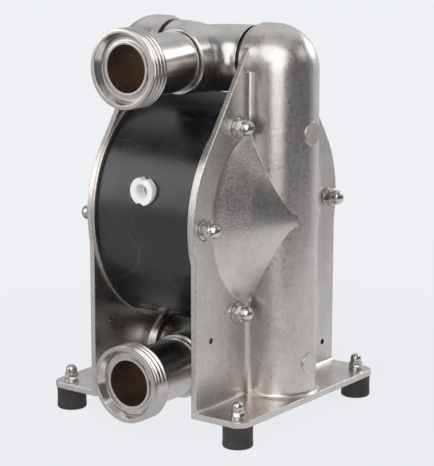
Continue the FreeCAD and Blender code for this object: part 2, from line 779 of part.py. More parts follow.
def cut_air_ports(body):
    """Cut the air inlet on the front and the exhaust on the back, down to the valve bore."""
    front_thread = adapter_seat - s.adapter_thread_length
    back_thread = adapter_seat - s.silencer_thread_length
    cuts = (
        ("inlet_seat", 1, adapter_seat, s.adapter_radius + s.rod_clearance),
        ("inlet_thread", 1, front_thread, s.adapter_thread_radius),
        ("inlet_drilling", 1, s.sleeve_radius / 2, s.adapter_drill_radius),
        ("exhaust_seat", -1, adapter_seat, s.silencer_collar_radius + s.rod_clearance),
        ("exhaust_thread", -1, back_thread, s.silencer_thread_radius),
        ("exhaust_drilling", -1, s.sleeve_radius / 2, s.silencer_bore_radius),
    )
    for name, side, depth, radius in cuts:
        circle = new_sketch(body, "XZ_Plane", f"{name}_circle", up=valve_height, out=depth * side)
        draw_circle(circle, 0, 0, radius)
        pocket(body, name, circle, s.block_radius - depth, Reversed=side > 0)


# Check valves: a seat, a loose ball and a stop pin at each end of each valve column.

def make_valves():
    seat = turned("seat_ring", [
        (s.seat_bore_radius, 0),
        (s.seat_radius, 0),
        (s.seat_radius, s.seat_height),
        (s.seat_bore_radius, s.seat_height),
    ])
    ball = doc.addObject("Part::Sphere", "ball")
    bind(ball, Radius=s.ball_radius)
    pin = doc.addObject("Part::Cylinder", "stop_pin")
    bind(pin, Radius=s.stop_pin_radius, Height=s.stop_pin_length)
    pin_start = flow_offset + s.flow_radius + s.stop_pin_embedded - s.stop_pin_length
    for name, height in (("suction", s.suction_seat_height), ("discharge", discharge_seat_height)):
        copies(f"{name}_seats", seat, [(flow_offset, 0, height, NO_TURN), (-flow_offset, 0, height, NO_TURN)])
        for side, x in (("right", flow_offset), ("left", -flow_offset)):
            copies(f"{name}_ball_{side}", ball, [(x, 0, height + s.seat_height + ball_rise, NO_TURN)])
    heights = (suction_pin_height, discharge_pin_height)
    copies("ball_stop_pins", pin, [(pin_start, 0, height, ALONG_X) for height in heights]
           + [(-pin_start, 0, height, ALONG_MINUS_X) for height in heights])


# Diaphragms, shaft and air valve inside the centre block.

def make_drive():
    inner = s.block_half_width - s.hub_inset
    outer = inner + s.hub_thickness
    low = s.block_half_width - s.membrane_thickness / 2
    high = s.block_half_width + s.membrane_thickness / 2
    bead_low = s.block_half_width - s.bead_recess
    bead_high = s.block_half_width + s.bead_recess
    core_low = inner + s.core_cover
    core_high = core_low + s.core_thickness
    stud_end = core_low - s.core_stud_length
    diaphragm = turned("diaphragm", [
        (0, core_high),
        (0, outer),
        (s.hub_radius, outer, s.hub_thickness / 4),
        (s.hub_radius, high, s.membrane_thickness / 2),
        (s.chamber_mouth_radius, high),
        (s.chamber_mouth_radius, bead_high),
        (bead_radius, bead_high),
        (bead_radius, bead_low),
        (s.chamber_mouth_radius, bead_low),
        (s.chamber_mouth_radius, low),
        (s.hub_radius, low),
        (s.hub_radius, inner),
        (s.core_stud_radius, inner),
        (s.core_stud_radius, core_low),
        (s.core_radius, core_low),
        (s.core_radius, core_high),
    ])
    core = turned("diaphragm_core", [
        (0, stud_end),
        (s.core_stud_radius, stud_end),
        (s.core_stud_radius, core_low),
        (s.core_radius, core_low),
        (s.core_radius, core_high),
        (0, core_high),
    ])
    axis = s.axis_height
    copies("diaphragm_right", diaphragm, [(0, 0, axis, ALONG_X)])
    copies("diaphragm_left", diaphragm, [(0, 0, axis, ALONG_MINUS_X)])
    copies("diaphragm_cores", core, [(0, 0, axis, ALONG_X), (0, 0, axis, ALONG_MINUS_X)])
    shaft = turned("shaft", [
        (0, -stud_end),
        (s.core_stud_radius, -stud_end),
        (s.core_stud_radius, -inner),
        (s.shaft_radius, -inner),
        (s.shaft_radius, inner),
        (s.core_stud_radius, inner),
        (s.core_stud_radius, stud_end),
        (0, stud_end),
    ])
    copies("diaphragm_shaft", shaft, [(0, 0, axis, ALONG_X)])
    seal = turned("shaft_seal", [
        (s.shaft_radius + s.running_clearance, 0),
        (s.shaft_seal_radius, 0),
        (s.shaft_seal_radius, s.shaft_seal_width),
        (s.shaft_radius + s.running_clearance, s.shaft_seal_width),
    ])
    seal_start = s.shaft_seal_offset - s.shaft_seal_width / 2
    copies("shaft_seals", seal, [(seal_start, 0, axis, ALONG_X), (-seal_start, 0, axis, ALONG_MINUS_X)])

    spool_bore = s.sleeve_bore_radius
    sleeve = turned("valve_sleeve", [
        (spool_bore, -s.sleeve_half_length),
        (s.sleeve_radius, -s.sleeve_half_length),
        (s.sleeve_radius, s.sleeve_half_length),
        (spool_bore, s.sleeve_half_length),
    ])
    ports = new_sketch(sleeve, "XZ_Plane", "sleeve_port_circle")
    draw_circle(ports, 0, 0, s.sleeve_port_radius)
    pocket(sleeve, "sleeve_ports", ports, s.sleeve_radius * 2, Midplane=True)
    copies("air_valve_sleeve", sleeve, [(0, 0, valve_height, ALONG_X)])
    land = spool_bore - s.running_clearance
    spool = turned("valve_spool", [
        (0, -s.spool_half_length),
        (land, -s.spool_half_length),
        (land, s.spool_land - s.spool_half_length),
        (s.spool_waist_radius, s.spool_land - s.spool_half_length),
        (s.spool_waist_radius, -s.spool_land / 2),
        (land, -s.spool_land / 2),
        (land, s.spool_land / 2),
        (s.spool_waist_radius, s.spool_land / 2),
        (s.spool_waist_radius, s.spool_half_length - s.spool_land),
        (land, s.spool_half_length - s.spool_land),
        (land, s.spool_half_length),
        (0, s.spool_half_length),
    ])
    copies("air_valve_spool", spool, [(0, 0, valve_height, ALONG_X)])
    cap = doc.addObject("Part::Cylinder", "valve_cap")
    bind(cap, Radius=spool_bore, Height=s.cap_thickness)
    cap_start = s.sleeve_half_length - s.cap_thickness
    copies("air_valve_caps", cap, [(cap_start, 0, valve_height, ALONG_X), (-cap_start, 0, valve_height, ALONG_MINUS_X)])


# Fasteners: tie rods, domed nuts, washers and the rubber feet.

def domed_nut(label, flats, hex_height, height, dome_radius, bore_radius, bore_depth):
    """A hexagon with a dome on it and a blind bore from below, seated at z = 0."""
    body = new_body(label)
    hexagon = new_sketch(body, "XY_Plane", f"{label}_hexagon")
    corner = flats / math.sqrt(3)
    points = []
    for index in range(6):
        angle = math.radians(60 * index)
        points.append((corner * math.cos(angle), corner * math.sin(angle)))
    draw_outline(hexagon, points)
    pad(body, f"{label}_hex", hexagon, hex_height)
    dome = draw_outline(new_sketch(body, "XZ_Plane", f"{label}_dome_profile"), [
        (0, 0),
        (dome_radius, 0),
        (dome_radius, height, dome_radius * FULL_ROUND),
        (0, height),
    ])
    revolve(body, f"{label}_dome", dome, "V_Axis")
    thread = new_sketch(body, "XY_Plane", f"{label}_bore_circle")
    draw_circle(thread, 0, 0, bore_radius)
    pocket(body, f"{label}_bore", thread, bore_depth, Reversed=True)
    return body


def washer_body(label, bore, radius, thickness):
    return turned(label, [(bore, 0), (radius, 0), (radius, thickness), (bore, thickness)])


def make_fasteners():
    seat = plate_outer - s.spotface_depth
    nut_seat = seat + s.rod_washer_thickness
    rod_end = nut_seat + s.rod_nut_bore_depth
    rod = doc.addObject("Part::Cylinder", "tie_rod")
    bind(rod, Radius=s.rod_radius, Height=rod_end * 2)
    nut = domed_nut("rod_nut", s.rod_nut_flats, s.rod_nut_hex_height, s.rod_nut_height,
                    s.rod_nut_dome_radius, s.rod_radius, s.rod_nut_bore_depth)
    ring = washer_body("rod_washer", s.rod_radius + s.rod_clearance, s.rod_washer_radius,
                       s.rod_washer_thickness)
    rods, nuts, washers = [], [], []
    for angle in tie_rod_angles():
        y = rod_circle_radius * round(math.cos(math.radians(angle)), DECIMALS)
        z = s.axis_height + rod_circle_radius * round(math.sin(math.radians(angle)), DECIMALS)
        rods.append((-rod_end, y, z, ALONG_X))
        for side, turn in ((1, ALONG_X), (-1, ALONG_MINUS_X)):
            nuts.append((nut_seat * side, y, z, turn))
            washers.append((seat * side, y, z, turn))
    copies("tie_rods", rod, rods)
    copies("tie_rod_nuts", nut, nuts)
    copies("tie_rod_washers", ring, washers)


def make_feet():
    stud_start = s.foot_height - s.stud_embedded
    nut_seat = flange_top + s.foot_washer_thickness
    rubber = turned("rubber_foot", [
        (s.insert_radius, 0),
        (s.foot_radius, 0, s.foot_round),
        (s.foot_radius, s.foot_height),
        (s.stud_radius, s.foot_height),
        (s.stud_radius, stud_start),
        (0, stud_start),
        (0, s.insert_length),
        (s.insert_radius, s.insert_length),
    ])
    insert = washer_body("foot_insert", s.insert_bore_radius, s.insert_radius, s.insert_length)
    stud = doc.addObject("Part::Cylinder", "foot_stud")
    bind(stud, Radius=s.stud_radius, Height=nut_seat + s.foot_nut_bore_depth - stud_start)
    nut = domed_nut("foot_nut", s.foot_nut_flats, s.foot_nut_hex_height, s.foot_nut_height,
                    s.foot_nut_dome_radius, s.stud_radius, s.foot_nut_bore_depth)
    ring = washer_body("foot_washer", s.stud_radius + s.stud_clearance, s.foot_washer_radius,
                       s.foot_washer_thickness)
    corners = [(foot_offset_across * a, foot_offset_depth * b) for a in (-1, 1) for b in (-1, 1)]
    for label, piece, height in (
        ("rubber_feet", rubber, 0),
        ("foot_inserts", insert, 0),
        ("foot_studs", stud, stud_start),
        ("foot_washers", ring, flange_top),
        ("foot_nuts", nut, nut_seat),
    ):
        copies(label, piece, [(x, y, height, NO_TURN) for x, y in corners])


# Swept tees, seals and dairy unions: one set at the top and one at the bottom.

def tee_solid(name, radius, end, length):
    """Two quarter bends that run together into one branch towards -Y, about local height zero."""
    bends = []
    for side, x, turn in (("right", end, 90), ("left", -end, 0)):
        bend = doc.addObject("Part::Torus", f"{name}_{side}_bend")
        bind(bend, Radius1=end, Radius2=radius, Angle3=90)
        place(bend, x, -end, 0, Rotation(Z_AXIS, turn))
        bends.append(bend)
    branch = doc.addObject("Part::Cylinder", f"{name}_branch")
    bind(branch, Radius=radius, Height=length - end)
    place(branch, 0, -end, 0, ALONG_MINUS_Y)
    whole = doc.addObject("Part::MultiFuse", name)
    whole.Shapes = [*bends, branch]
    return whole


def make_tee():
    outside = tee_solid("tee_outside", s.tee_radius, tee_end - s.swivel_clearance, s.tee_branch_reach)
    inside = tee_solid("tee_inside", s.tee_bore_radius, tee_end - s.swivel_clearance, s.tee_branch_reach)
    hollow = doc.addObject("Part::Cut", "tee_hollow")
    hollow.Base, hollow.Tool = outside, inside
    counterbore = doc.addObject("Part::Cylinder", "tee_counterbore")
    bind(counterbore, Radius=s.spigot_radius, Height=s.spigot_length)
    place(counterbore, 0, s.spigot_length - s.tee_branch_reach, 0, ALONG_MINUS_Y)
    tee = doc.addObject("Part::Cut", "tee")
    tee.Base, tee.Tool = hollow, counterbore
    doc.recompute()
    rim = doc.addObject("Part::Chamfer", "tee_chamfered")
    rim.Base = tee
    front = -s.tee_branch_reach.value
    chosen = [int(name[4:]) for name in edges_on(tee.Shape, lambda point: near(point.y, front)
              and math.hypot(point.x, point.z) > s.tee_radius.value - 0.01)]
    rim.Edges = [(index, s.tee_edge.value, s.tee_edge.value) for index in chosen]
    return rim


def make_union():
    """The union's profile is (radius, distance from the pump axis); its axis is local Z."""
    tail = s.tee_branch_reach - s.spigot_length
    neck = s.tee_branch_reach + s.port_seal_width
    collar = s.union_reach - s.union_collar
    seat = s.union_reach - s.union_recess_depth
    body = turned("union", [
        (s.flow_radius, tail),
        (s.spigot_radius, tail),
        (s.spigot_radius, neck),
        (s.union_tube_radius, neck),
        (s.union_tube_radius, collar - s.thread_start, s.thread_start * 2),
        (s.thread_root_radius, collar),
        (s.thread_root_radius, s.union_reach - s.thread_start * 2),
        (s.union_lip_radius, s.union_reach - s.thread_start),
        (s.union_lip_radius, s.union_reach, s.thread_start / 3),
        (s.union_lip_inner, s.union_reach),
        (s.union_seat_radius, seat),
        (s.union_seat_lip_radius, seat),
        (s.union_seat_lip_radius, seat + s.union_seat_lip_rise),
        (s.flow_radius, seat + s.union_seat_lip_rise),
    ])
    ridge = draw_outline(new_sketch(body, "XZ_Plane", "thread_ridge_profile"), [
        (s.thread_root_radius * FULL_ROUND, collar),
        (s.thread_crest_radius, collar + s.thread_pitch / 2, s.thread_pitch / 6),
        (s.thread_root_radius * FULL_ROUND, collar + s.thread_pitch),
    ])
    crest = revolve(body, "thread_ridge", ridge, "V_Axis")
    row = body.newObject("PartDesign::LinearPattern", "thread")
    row.Originals = [crest]
    row.Direction = (ridge, ["V_Axis"])
    bind(row, Length=s.thread_pitch * (s.thread_turns - 1))
    row.Occurrences = round(s.thread_turns.value)
    body.Tip = row
    return body


def make_ports():
    tee, union = make_tee(), make_union()
    ring = washer_body("tee_seal", s.flow_radius, s.seal_radius, s.seal_width)
    port_ring = washer_body("port_seal", s.spigot_radius, s.port_seal_radius, s.port_seal_width)
    for name, height in (("outlet", outlet_height), ("inlet", inlet_height)):
        copies(f"{name}_manifold", tee, [(0, 0, height, NO_TURN)])
        copies(f"{name}_union", union, [(0, 0, height, ALONG_MINUS_Y)])
        copies(f"{name}_port_seal", port_ring, [(0, -s.tee_branch_reach, height, ALONG_MINUS_Y)])
        copies(f"{name}_seals", ring, [(tee_end, 0, height, ALONG_X), (-tee_end, 0, height, ALONG_MINUS_X)])


# Air inlet adapter on the front and exhaust silencer on the back of the block.

def make_air_fittings():
    adapter = turned("adapter", [
        (s.adapter_drill_radius, -s.adapter_thread_length),
        (s.adapter_thread_radius, -s.adapter_thread_length),
        (s.adapter_thread_radius, 0),
        (s.adapter_radius, 0),
        (s.adapter_radius, s.adapter_thickness, s.cast_edge),
        (s.adapter_bore_radius, s.adapter_thickness),
        (s.adapter_bore_radius, s.adapter_thickness - s.adapter_bore_depth),
        (s.adapter_drill_radius, s.adapter_thickness - s.adapter_bore_depth),
    ])
    for name, side in (("top", 1), ("bottom", -1)):
        notch = draw_outline(new_sketch(adapter, "XY_Plane", f"{name}_notch_outline"), [
            (-s.adapter_notch_width / 2, (s.adapter_radius - s.adapter_notch_depth) * side),
            (s.adapter_notch_width / 2, (s.adapter_radius - s.adapter_notch_depth) * side),
            (s.adapter_notch_width / 2, (s.adapter_radius + s.adapter_notch_depth) * side),
            (-s.adapter_notch_width / 2, (s.adapter_radius + s.adapter_notch_depth) * side),
        ])
        pocket(adapter, f"{name}_notch", notch, s.adapter_thickness, Reversed=True)
    copies("air_inlet_adapter", adapter, [(0, -adapter_seat, valve_height, ALONG_MINUS_Y)])

    collar = s.silencer_collar_length
    silencer = turned("silencer", [
        (s.silencer_bore_radius, -s.silencer_thread_length),
        (s.silencer_thread_radius, -s.silencer_thread_length),
        (s.silencer_thread_radius, 0),
        (s.silencer_collar_radius, 0),
        (s.silencer_collar_radius, collar, s.cast_edge),
        (s.silencer_radius, collar),
        (s.silencer_radius, s.silencer_length, s.silencer_radius / 2),
        (0, s.silencer_length),
        (0, s.silencer_length - s.silencer_wall),
        (s.silencer_bore_radius, s.silencer_length - s.silencer_wall),
    ])
    copies("exhaust_silencer", silencer, [(0, adapter_seat, valve_height, ALONG_Y)])


right_housing = keep(make_housing(), "right_housing")
left_housing = doc.addObject("Part::Mirroring", "left_housing")
left_housing.Source = right_housing
left_housing.Normal = X_AXIS
keep(left_housing, "left_housing")
keep(make_block(), "centre_block")
make_fasteners()
make_feet()
make_ports()
make_valves()
make_drive()
make_air_fittings()
doc.recompute()

broken = [thing.Label for thing in doc.Objects if {"Invalid", "Error"} & set(thing.State)]
if broken:
    raise RuntimeError(f"these objects failed to build: {', '.join(broken)}")
os.makedirs("parts", exist_ok=True)
for label, thing in PARTS.items():
    shape = thing.Shape
    if shape.isNull() or not shape.isValid() or not shape.Solids:
        raise RuntimeError(f"{label} has no valid solid")
    shape.exportStep(f"parts/{label}.step")
    print(f"{label}: {len(shape.Solids)} solid(s), {shape.Volume / 1000:.1f} cm3")
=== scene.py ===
"""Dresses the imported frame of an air-operated double diaphragm pump.

The cast housings, the plastic block and the hidden inner parts are the frame's own solids with
worked finishes. The unions with their round threads, the swept tees, the domed nuts and washers,
the feet, the seals, the air inlet adapter and the silencer are modelled here in their places.
"""

from __future__ import annotations

import json
import logging
import math
from abc import ABC, abstractmethod
from collections.abc import Callable, Iterable, Iterator, Sequence
from contextlib import contextmanager
from dataclasses import dataclass
from enum import Enum
from functools import reduce

import bmesh
import bpy
from mathutils import Euler, Matrix, Vector

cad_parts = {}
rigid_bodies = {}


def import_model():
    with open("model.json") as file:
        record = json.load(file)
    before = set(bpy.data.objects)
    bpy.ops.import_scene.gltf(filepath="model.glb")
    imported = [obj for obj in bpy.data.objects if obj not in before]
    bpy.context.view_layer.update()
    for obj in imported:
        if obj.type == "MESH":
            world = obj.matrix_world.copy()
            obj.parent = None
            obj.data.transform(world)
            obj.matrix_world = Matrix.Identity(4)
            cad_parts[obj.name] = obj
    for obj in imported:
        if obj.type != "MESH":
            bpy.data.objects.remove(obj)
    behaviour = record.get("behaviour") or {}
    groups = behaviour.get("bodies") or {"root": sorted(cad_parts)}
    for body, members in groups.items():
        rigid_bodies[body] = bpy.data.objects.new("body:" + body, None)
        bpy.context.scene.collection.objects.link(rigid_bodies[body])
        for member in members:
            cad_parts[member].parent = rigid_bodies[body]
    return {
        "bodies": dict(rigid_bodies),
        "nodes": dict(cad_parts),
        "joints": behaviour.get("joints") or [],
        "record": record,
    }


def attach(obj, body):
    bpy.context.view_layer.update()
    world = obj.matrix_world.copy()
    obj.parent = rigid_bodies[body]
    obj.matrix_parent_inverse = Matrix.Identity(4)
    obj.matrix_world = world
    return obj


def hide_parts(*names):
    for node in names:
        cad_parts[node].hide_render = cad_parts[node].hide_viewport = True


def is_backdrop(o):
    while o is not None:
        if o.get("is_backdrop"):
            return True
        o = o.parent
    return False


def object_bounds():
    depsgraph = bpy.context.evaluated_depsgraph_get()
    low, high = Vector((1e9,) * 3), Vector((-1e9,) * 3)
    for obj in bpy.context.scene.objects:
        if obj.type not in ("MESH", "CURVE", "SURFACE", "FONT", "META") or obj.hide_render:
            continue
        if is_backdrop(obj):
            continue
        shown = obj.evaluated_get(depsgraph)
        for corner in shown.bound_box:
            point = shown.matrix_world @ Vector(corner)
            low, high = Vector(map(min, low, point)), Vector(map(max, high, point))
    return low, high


LOG = logging.getLogger("pump")
MM = 0.001
FULL_TURN = 2 * math.pi
QUARTER_TURN = math.pi / 2
ON_IT = 0.01 * MM  # how near a point is to a plane or a radius that it lies on

Colour = tuple[float, float, float]
Point = tuple[float, float, float]
Span = tuple[float, float]
Piece = bpy.types.Object
Socket = bpy.types.NodeSocket

PALE_GREY: Colour = (0.855, 0.871, 0.896)

# Places that the frame gives, in metres.
PUMP_AXIS = 172 * MM
OUTLET_HEIGHT = 298 * MM
INLET_HEIGHT = 43 * MM
PLATE_OUTER = 55 * MM
TEE_END = 39.95 * MM
ELBOW_END = 40 * MM
PLATE_HOLES = ((-79.5 * MM, 79.4 * MM), (82.9 * MM, 43.0 * MM))


class Facing(Enum):
    """The direction that a turned piece's own axis points to when it is in place."""

    UP = (0.0, 0.0, 0.0)
    RIGHT = (0.0, QUARTER_TURN, 0.0)
    LEFT = (0.0, -QUARTER_TURN, 0.0)
    FRONT = (QUARTER_TURN, 0.0, 0.0)
    BACK = (-QUARTER_TURN, 0.0, 0.0)

    def matrix(self, centre: Point, turn: float = 0.0) -> Matrix:
        """The place of a piece whose axis faces this way.

        Args:
            centre: Where the piece's own origin goes.
            turn: How far the piece is turned about its own axis first, in radians.

        Returns:
            The matrix that takes the piece from its own frame to the pump's.
        """
        own = Matrix.Rotation(turn, 4, "Z")
        return Matrix.Translation(centre) @ Euler(self.value).to_matrix().to_4x4() @ own


SIDES = (("right", 1, Facing.RIGHT), ("left", -1, Facing.LEFT))


# ---- materials


class Graph:
    """The node tree of one material or of the world."""

    def __init__(self, owner: bpy.types.ID, coordinates: str = "Object") -> None:
        """Empties the owner's tree, and takes the coordinates that its patterns read."""
        owner.use_nodes = True
        self.owner, self.tree = owner, owner.node_tree
        self.tree.nodes.clear()
        self.place = self.get("TexCoord", coordinates, {})

    def add(self, kind: str, inputs: dict, **settings: object) -> bpy.types.Node:
        """Adds a node.

        Args:
            kind: The kind of shader node.
            inputs: A socket to link or a plain value to write, by input.
            **settings: The node's own settings.
        """
        node = self.tree.nodes.new(f"ShaderNode{kind}")
        for key, value in settings.items():
            setattr(node, key, value)
        for key, value in inputs.items():
            target = node.inputs[key]
            if isinstance(value, bpy.types.NodeSocket):
                self.tree.links.new(value, target)
            else:
                target.default_value = (*value, 1.0) if target.type == "RGBA" else value
        return node

    def get(self, kind: str, output: str | int, inputs: dict, **settings: object) -> Socket:
        """Adds a node and gives one of its outputs."""
        return self.add(kind, inputs, **settings).outputs[output]

    def noise(self, scale: float, detail: float = 3.0, blur: float = 0.5,
              distortion: float = 0.0, at: Socket | None = None) -> Socket:
        """Cloudy noise, around a half.

        Args:
            scale: How many features there are in a metre.
            detail: How many finer layers are added.
            blur: How strong the finer layers are.
            distortion: How far the pattern is stirred.
            at: The coordinates that it is read at.
        """
        return self.get("TexNoise", "Fac", {
            "Vector": at or self.place, "Scale": scale, "Detail": detail, "Roughness": blur,
            "Distortion": distortion})

    def cells(self, scale: float, at: Socket | None = None, feature: str = "F1") -> Socket:
        """The distance to the nearest of many scattered points, or to a cell's edge."""
        return self.get("TexVoronoi", "Distance", {"Vector": at or self.place, "Scale": scale},
                        feature=feature)

    def mapped(self, scale: Point, turn: Point = (0.0, 0.0, 0.0)) -> Socket:
        """The coordinates after a stretch and a turn."""
        return self.get("Mapping", "Vector",
                        {"Vector": self.place, "Scale": scale, "Rotation": turn})

    def axes(self) -> tuple[Socket, ...]:
        """The three coordinates, each on its own."""
        return tuple(self.add("SeparateXYZ", {"Vector": self.place}).outputs)

    def calc(self, operation: str, first: object, second: object = 0.0) -> Socket:
        """One sum of two values."""
        return self.get("Math", "Value", {0: first, 1: second}, operation=operation)

    def plus(self, *terms: object) -> Socket:
        """The sum of the terms."""
        return reduce(lambda first, second: self.calc("ADD", first, second), terms)

    def minus(self, first: object, second: object) -> Socket:
        """The first value less the second."""
        return self.calc("SUBTRACT", first, second)

    def times(self, *factors: object) -> Socket:
        """The product of the factors."""
        return reduce(lambda first, second: self.calc("MULTIPLY", first, second), factors)

    def length(self, across: Socket, up: Socket) -> Socket:
        """The length of a vector that has these two parts."""
        return self.calc("SQRT", self.plus(self.times(across, across), self.times(up, up)))

    def span(self, value: Socket, start: float, end: float, low: float = 0.0,
             high: float = 1.0, smooth: bool = False) -> Socket:
        """Takes values between start and end to values between low and high.

        Args:
            value: The value that is read.
            start: The value that becomes low.
            end: The value that becomes high.
            low: The result at start and before it.
            high: The result at end and after it.
            smooth: Whether the change eases in and out.

        Returns:
            The new value, clamped.
        """
        return self.get("MapRange", "Result", {0: value, 1: start, 2: end, 3: low, 4: high},
                        clamp=True, interpolation_type="SMOOTHSTEP" if smooth else "LINEAR")

    def fall(self, value: Socket, start: float, end: float, smooth: bool = False) -> Socket:
        """One up to the start and nothing from the end on."""
        return self.span(value, start, end, 1.0, 0.0, smooth)

    def mix(self, factor: object, first: object, second: object) -> Socket:
        """A colour between two colours, at the colour sockets of the mixing node."""
        return self.get("Mix", 2, {0: factor, 6: first, 7: second}, data_type="RGBA")

    def blend(self, factor: object, first: Socket, second: Socket) -> Socket:
        """A shader between two shaders."""
        return self.get("MixShader", "Shader", {0: factor, 1: first, 2: second})

    def softened_edges(self, radius: float) -> Socket:
        """The normal of a surface whose sharp edges and corners are rounded to a radius."""
        return self.get("Bevel", "Normal", {"Radius": radius}, samples=6)

    def relief(self, *layers: tuple[Socket, float, float], under: Socket | None = None) -> Socket:
        """Lays reliefs on a surface, one on the other.

        Args:
            *layers: Each relief's height from 0 to 1, its depth in metres and its strength.
            under: The normal that they lie on.

        Returns:
            The bent normal.
        """
        for height, depth, strength in layers:
            base = {} if under is None else {"Normal": under}
            under = self.get("Bump", "Normal", {
                "Height": height, "Distance": depth, "Strength": strength, **base})
        return under

    def surface(self, colour: Socket, roughness: Socket, normal: Socket, **values: float) -> None:
        """Ends the tree in one surface shader, with its other values by input."""
        shader = self.get("BsdfPrincipled", "BSDF", {
            "Base Color": colour, "Roughness": roughness, "Normal": normal, **values})
        self.add("OutputMaterial", {"Surface": shader})


@dataclass(frozen=True)
class Finish(ABC):
    """What a piece's surface is made of and how it was worked."""

    name: str
    slot: str

    @abstractmethod
    def paint(self, g: Graph) -> None:
        """Builds the finish's nodes."""

    def material(self) -> bpy.types.Material:
        """The finish's material, made the first time it is asked for."""
        made = bpy.data.materials.get(self.name)
        if made is None:
            made = bpy.data.materials.new(self.name)
            self.paint(Graph(made))
        return made


@dataclass(frozen=True)
class BlastedCasting(Finish):
    """Investment-cast stainless steel, bead blasted, with coarser grain left on the cone."""

    light: Colour = (0.715, 0.677, 0.65)
    dark: Colour = (0.545, 0.51, 0.484)
    stain: Colour = (0.36, 0.32, 0.275)
    # Painted shade in the small plate holes.
    painted_hole_shade: Colour = (0.14, 0.1, 0.075)
    coarse_from: Span = (50 * MM, 52 * MM)
    coarse_to: Span = (76 * MM, 79 * MM)
    off_column: Span = (22 * MM, 34 * MM)
    off_plate: Span = (PLATE_OUTER + 1 * MM, PLATE_OUTER + 3 * MM)
    hole_shade_reach: Span = (2.3 * MM, 2.7 * MM)
    roughness: Span = (0.27, 0.36)

    def paint(self, g: Graph) -> None:
        """Builds the cast steel's nodes."""
        across, depth, height = g.axes()
        radius = g.length(depth, g.minus(height, PUMP_AXIS))
        patches = g.span(g.noise(24, 2), 0.42, 0.62, 0.35, 1.0)
        coarse = g.times(g.span(radius, *self.coarse_from), g.fall(radius, *self.coarse_to),
                         g.span(g.calc("ABSOLUTE", across), *self.off_plate),
                         g.span(g.calc("ABSOLUTE", depth), *self.off_column), patches)

        clouds = g.noise(19, 4, blur=0.6)
        streaks = g.noise(9, 5, blur=0.6, at=g.mapped((9.0, 9.0, 1.2)))
        mottle = g.noise(360, 4, blur=0.6)
        tone = g.plus(g.times(clouds, 0.4), g.times(streaks, 0.25), g.times(mottle, 0.35))
        colour = g.mix(g.span(tone, 0.4, 0.6), self.dark, self.light)
        stains = g.span(g.noise(42, 4, blur=0.6), 0.6, 0.8, 0.0, 0.3)
        colour = g.mix(stains, colour, self.stain)
        # Painted shade: the casting darkens in and around the small plate holes.
        for y, z in PLATE_HOLES:
            off = g.length(g.minus(depth, y), g.minus(height, z))
            colour = g.mix(g.fall(off, *self.hole_shade_reach), colour, self.painted_hole_shade)

        ripple = g.noise(46, 2)
        beads = g.noise(430, 3, blur=0.6)
        grain = g.noise(950, 3, blur=0.65)
        crust = g.times(g.noise(560, 2), coarse)
        roughness = g.span(g.plus(beads, mottle), 0.8, 1.2, *self.roughness)
        normal = g.relief((ripple, 0.9 * MM, 0.3), (beads, 0.05 * MM, 0.5),
                          (grain, 0.03 * MM, 0.6), (crust, 0.6 * MM, 0.85),
                          under=g.softened_edges(0.8 * MM))
        g.surface(colour, g.plus(roughness, g.times(coarse, 0.07)), normal, Metallic=1.0)


class Lay(Enum):
    """The direction of the marks that a tool or a belt leaves in steel."""

    AROUND_DEPTH = (4.0, 1500.0, 4.0)
    AROUND_WIDTH = (1500.0, 4.0, 4.0)
    NONE = (160.0, 160.0, 160.0)


@dataclass(frozen=True)
class WorkedSteel(Finish):
    """Stainless steel that was turned, brushed or polished.

    A head is the distance along the port past which the steel is smoother.
    """

    lay: Lay = Lay.NONE
    light: Colour = (0.74, 0.725, 0.705)
    dark: Colour = (0.6, 0.585, 0.565)
    smooth: float = 0.18
    rough: float = 0.32
    groove: float = 0.004 * MM
    film: Colour = (0.55, 0.46, 0.375)
    filmed: float = 0.0
    head: float = 0.0
    bore_wall: Span = (19.3 * MM, 19.7 * MM)
    bend_wall: Span = (21 * MM, 22 * MM)
    bore_start: Span = (-TEE_END - 6 * MM, -TEE_END)
    bend_start: Span = (-TEE_END - 14 * MM, -TEE_END - 13.5 * MM)

    def bore_film(self, g: Graph) -> Socket:
        """Where the brown film lies: in the straight bores and inside the swept bends."""
        x, y, z = g.axes()
        middle = (OUTLET_HEIGHT + INLET_HEIGHT) / 2
        off = g.minus(g.calc("ABSOLUTE", g.minus(z, middle)), OUTLET_HEIGHT - middle)
        straight = g.times(g.fall(g.length(x, off), *self.bore_wall),
                           g.fall(y, *self.bore_start))
        hub = g.length(g.minus(g.calc("ABSOLUTE", x), TEE_END), g.plus(y, TEE_END))
        bend = g.times(g.fall(g.length(g.minus(hub, TEE_END), off), *self.bend_wall),
                       g.span(y, *self.bend_start))
        return g.calc("MAXIMUM", straight, bend)

    def paint(self, g: Graph) -> None:
        """Builds the worked steel's nodes."""
        lines = g.noise(1.0, 4, blur=0.7, at=g.mapped(self.lay.value))
        smears = g.noise(28, 5, blur=0.65, distortion=1.2)
        tone = g.plus(g.times(lines, 0.45), g.times(g.noise(60), 0.55))
        colour = g.mix(g.span(tone, 0.35, 0.65), self.dark, self.light)
        roughness = g.span(g.plus(lines, smears), 0.75, 1.25, self.smooth, self.rough)
        if self.head:
            polish = g.span(g.axes()[1], -self.head - 1 * MM, -self.head, 0.8, 1.0)
            roughness = g.times(roughness, polish)
        if self.filmed:
            film = g.times(self.bore_film(g), g.span(smears, 0.3, 0.6, self.filmed, 1.0))
            colour = g.mix(film, colour, self.film)
            roughness = g.plus(roughness, g.times(film, 0.16))
        cracks = g.cells(70, g.mapped((1.0, 9.0, 1.0), (0.3, 0.5, 0.9)), "DISTANCE_TO_EDGE")
        normal = g.relief((lines, self.groove, 0.6), (g.fall(cracks, 0.0, 0.012), 0.02 * MM, 0.25))
        g.surface(colour, roughness, normal, Metallic=1.0)


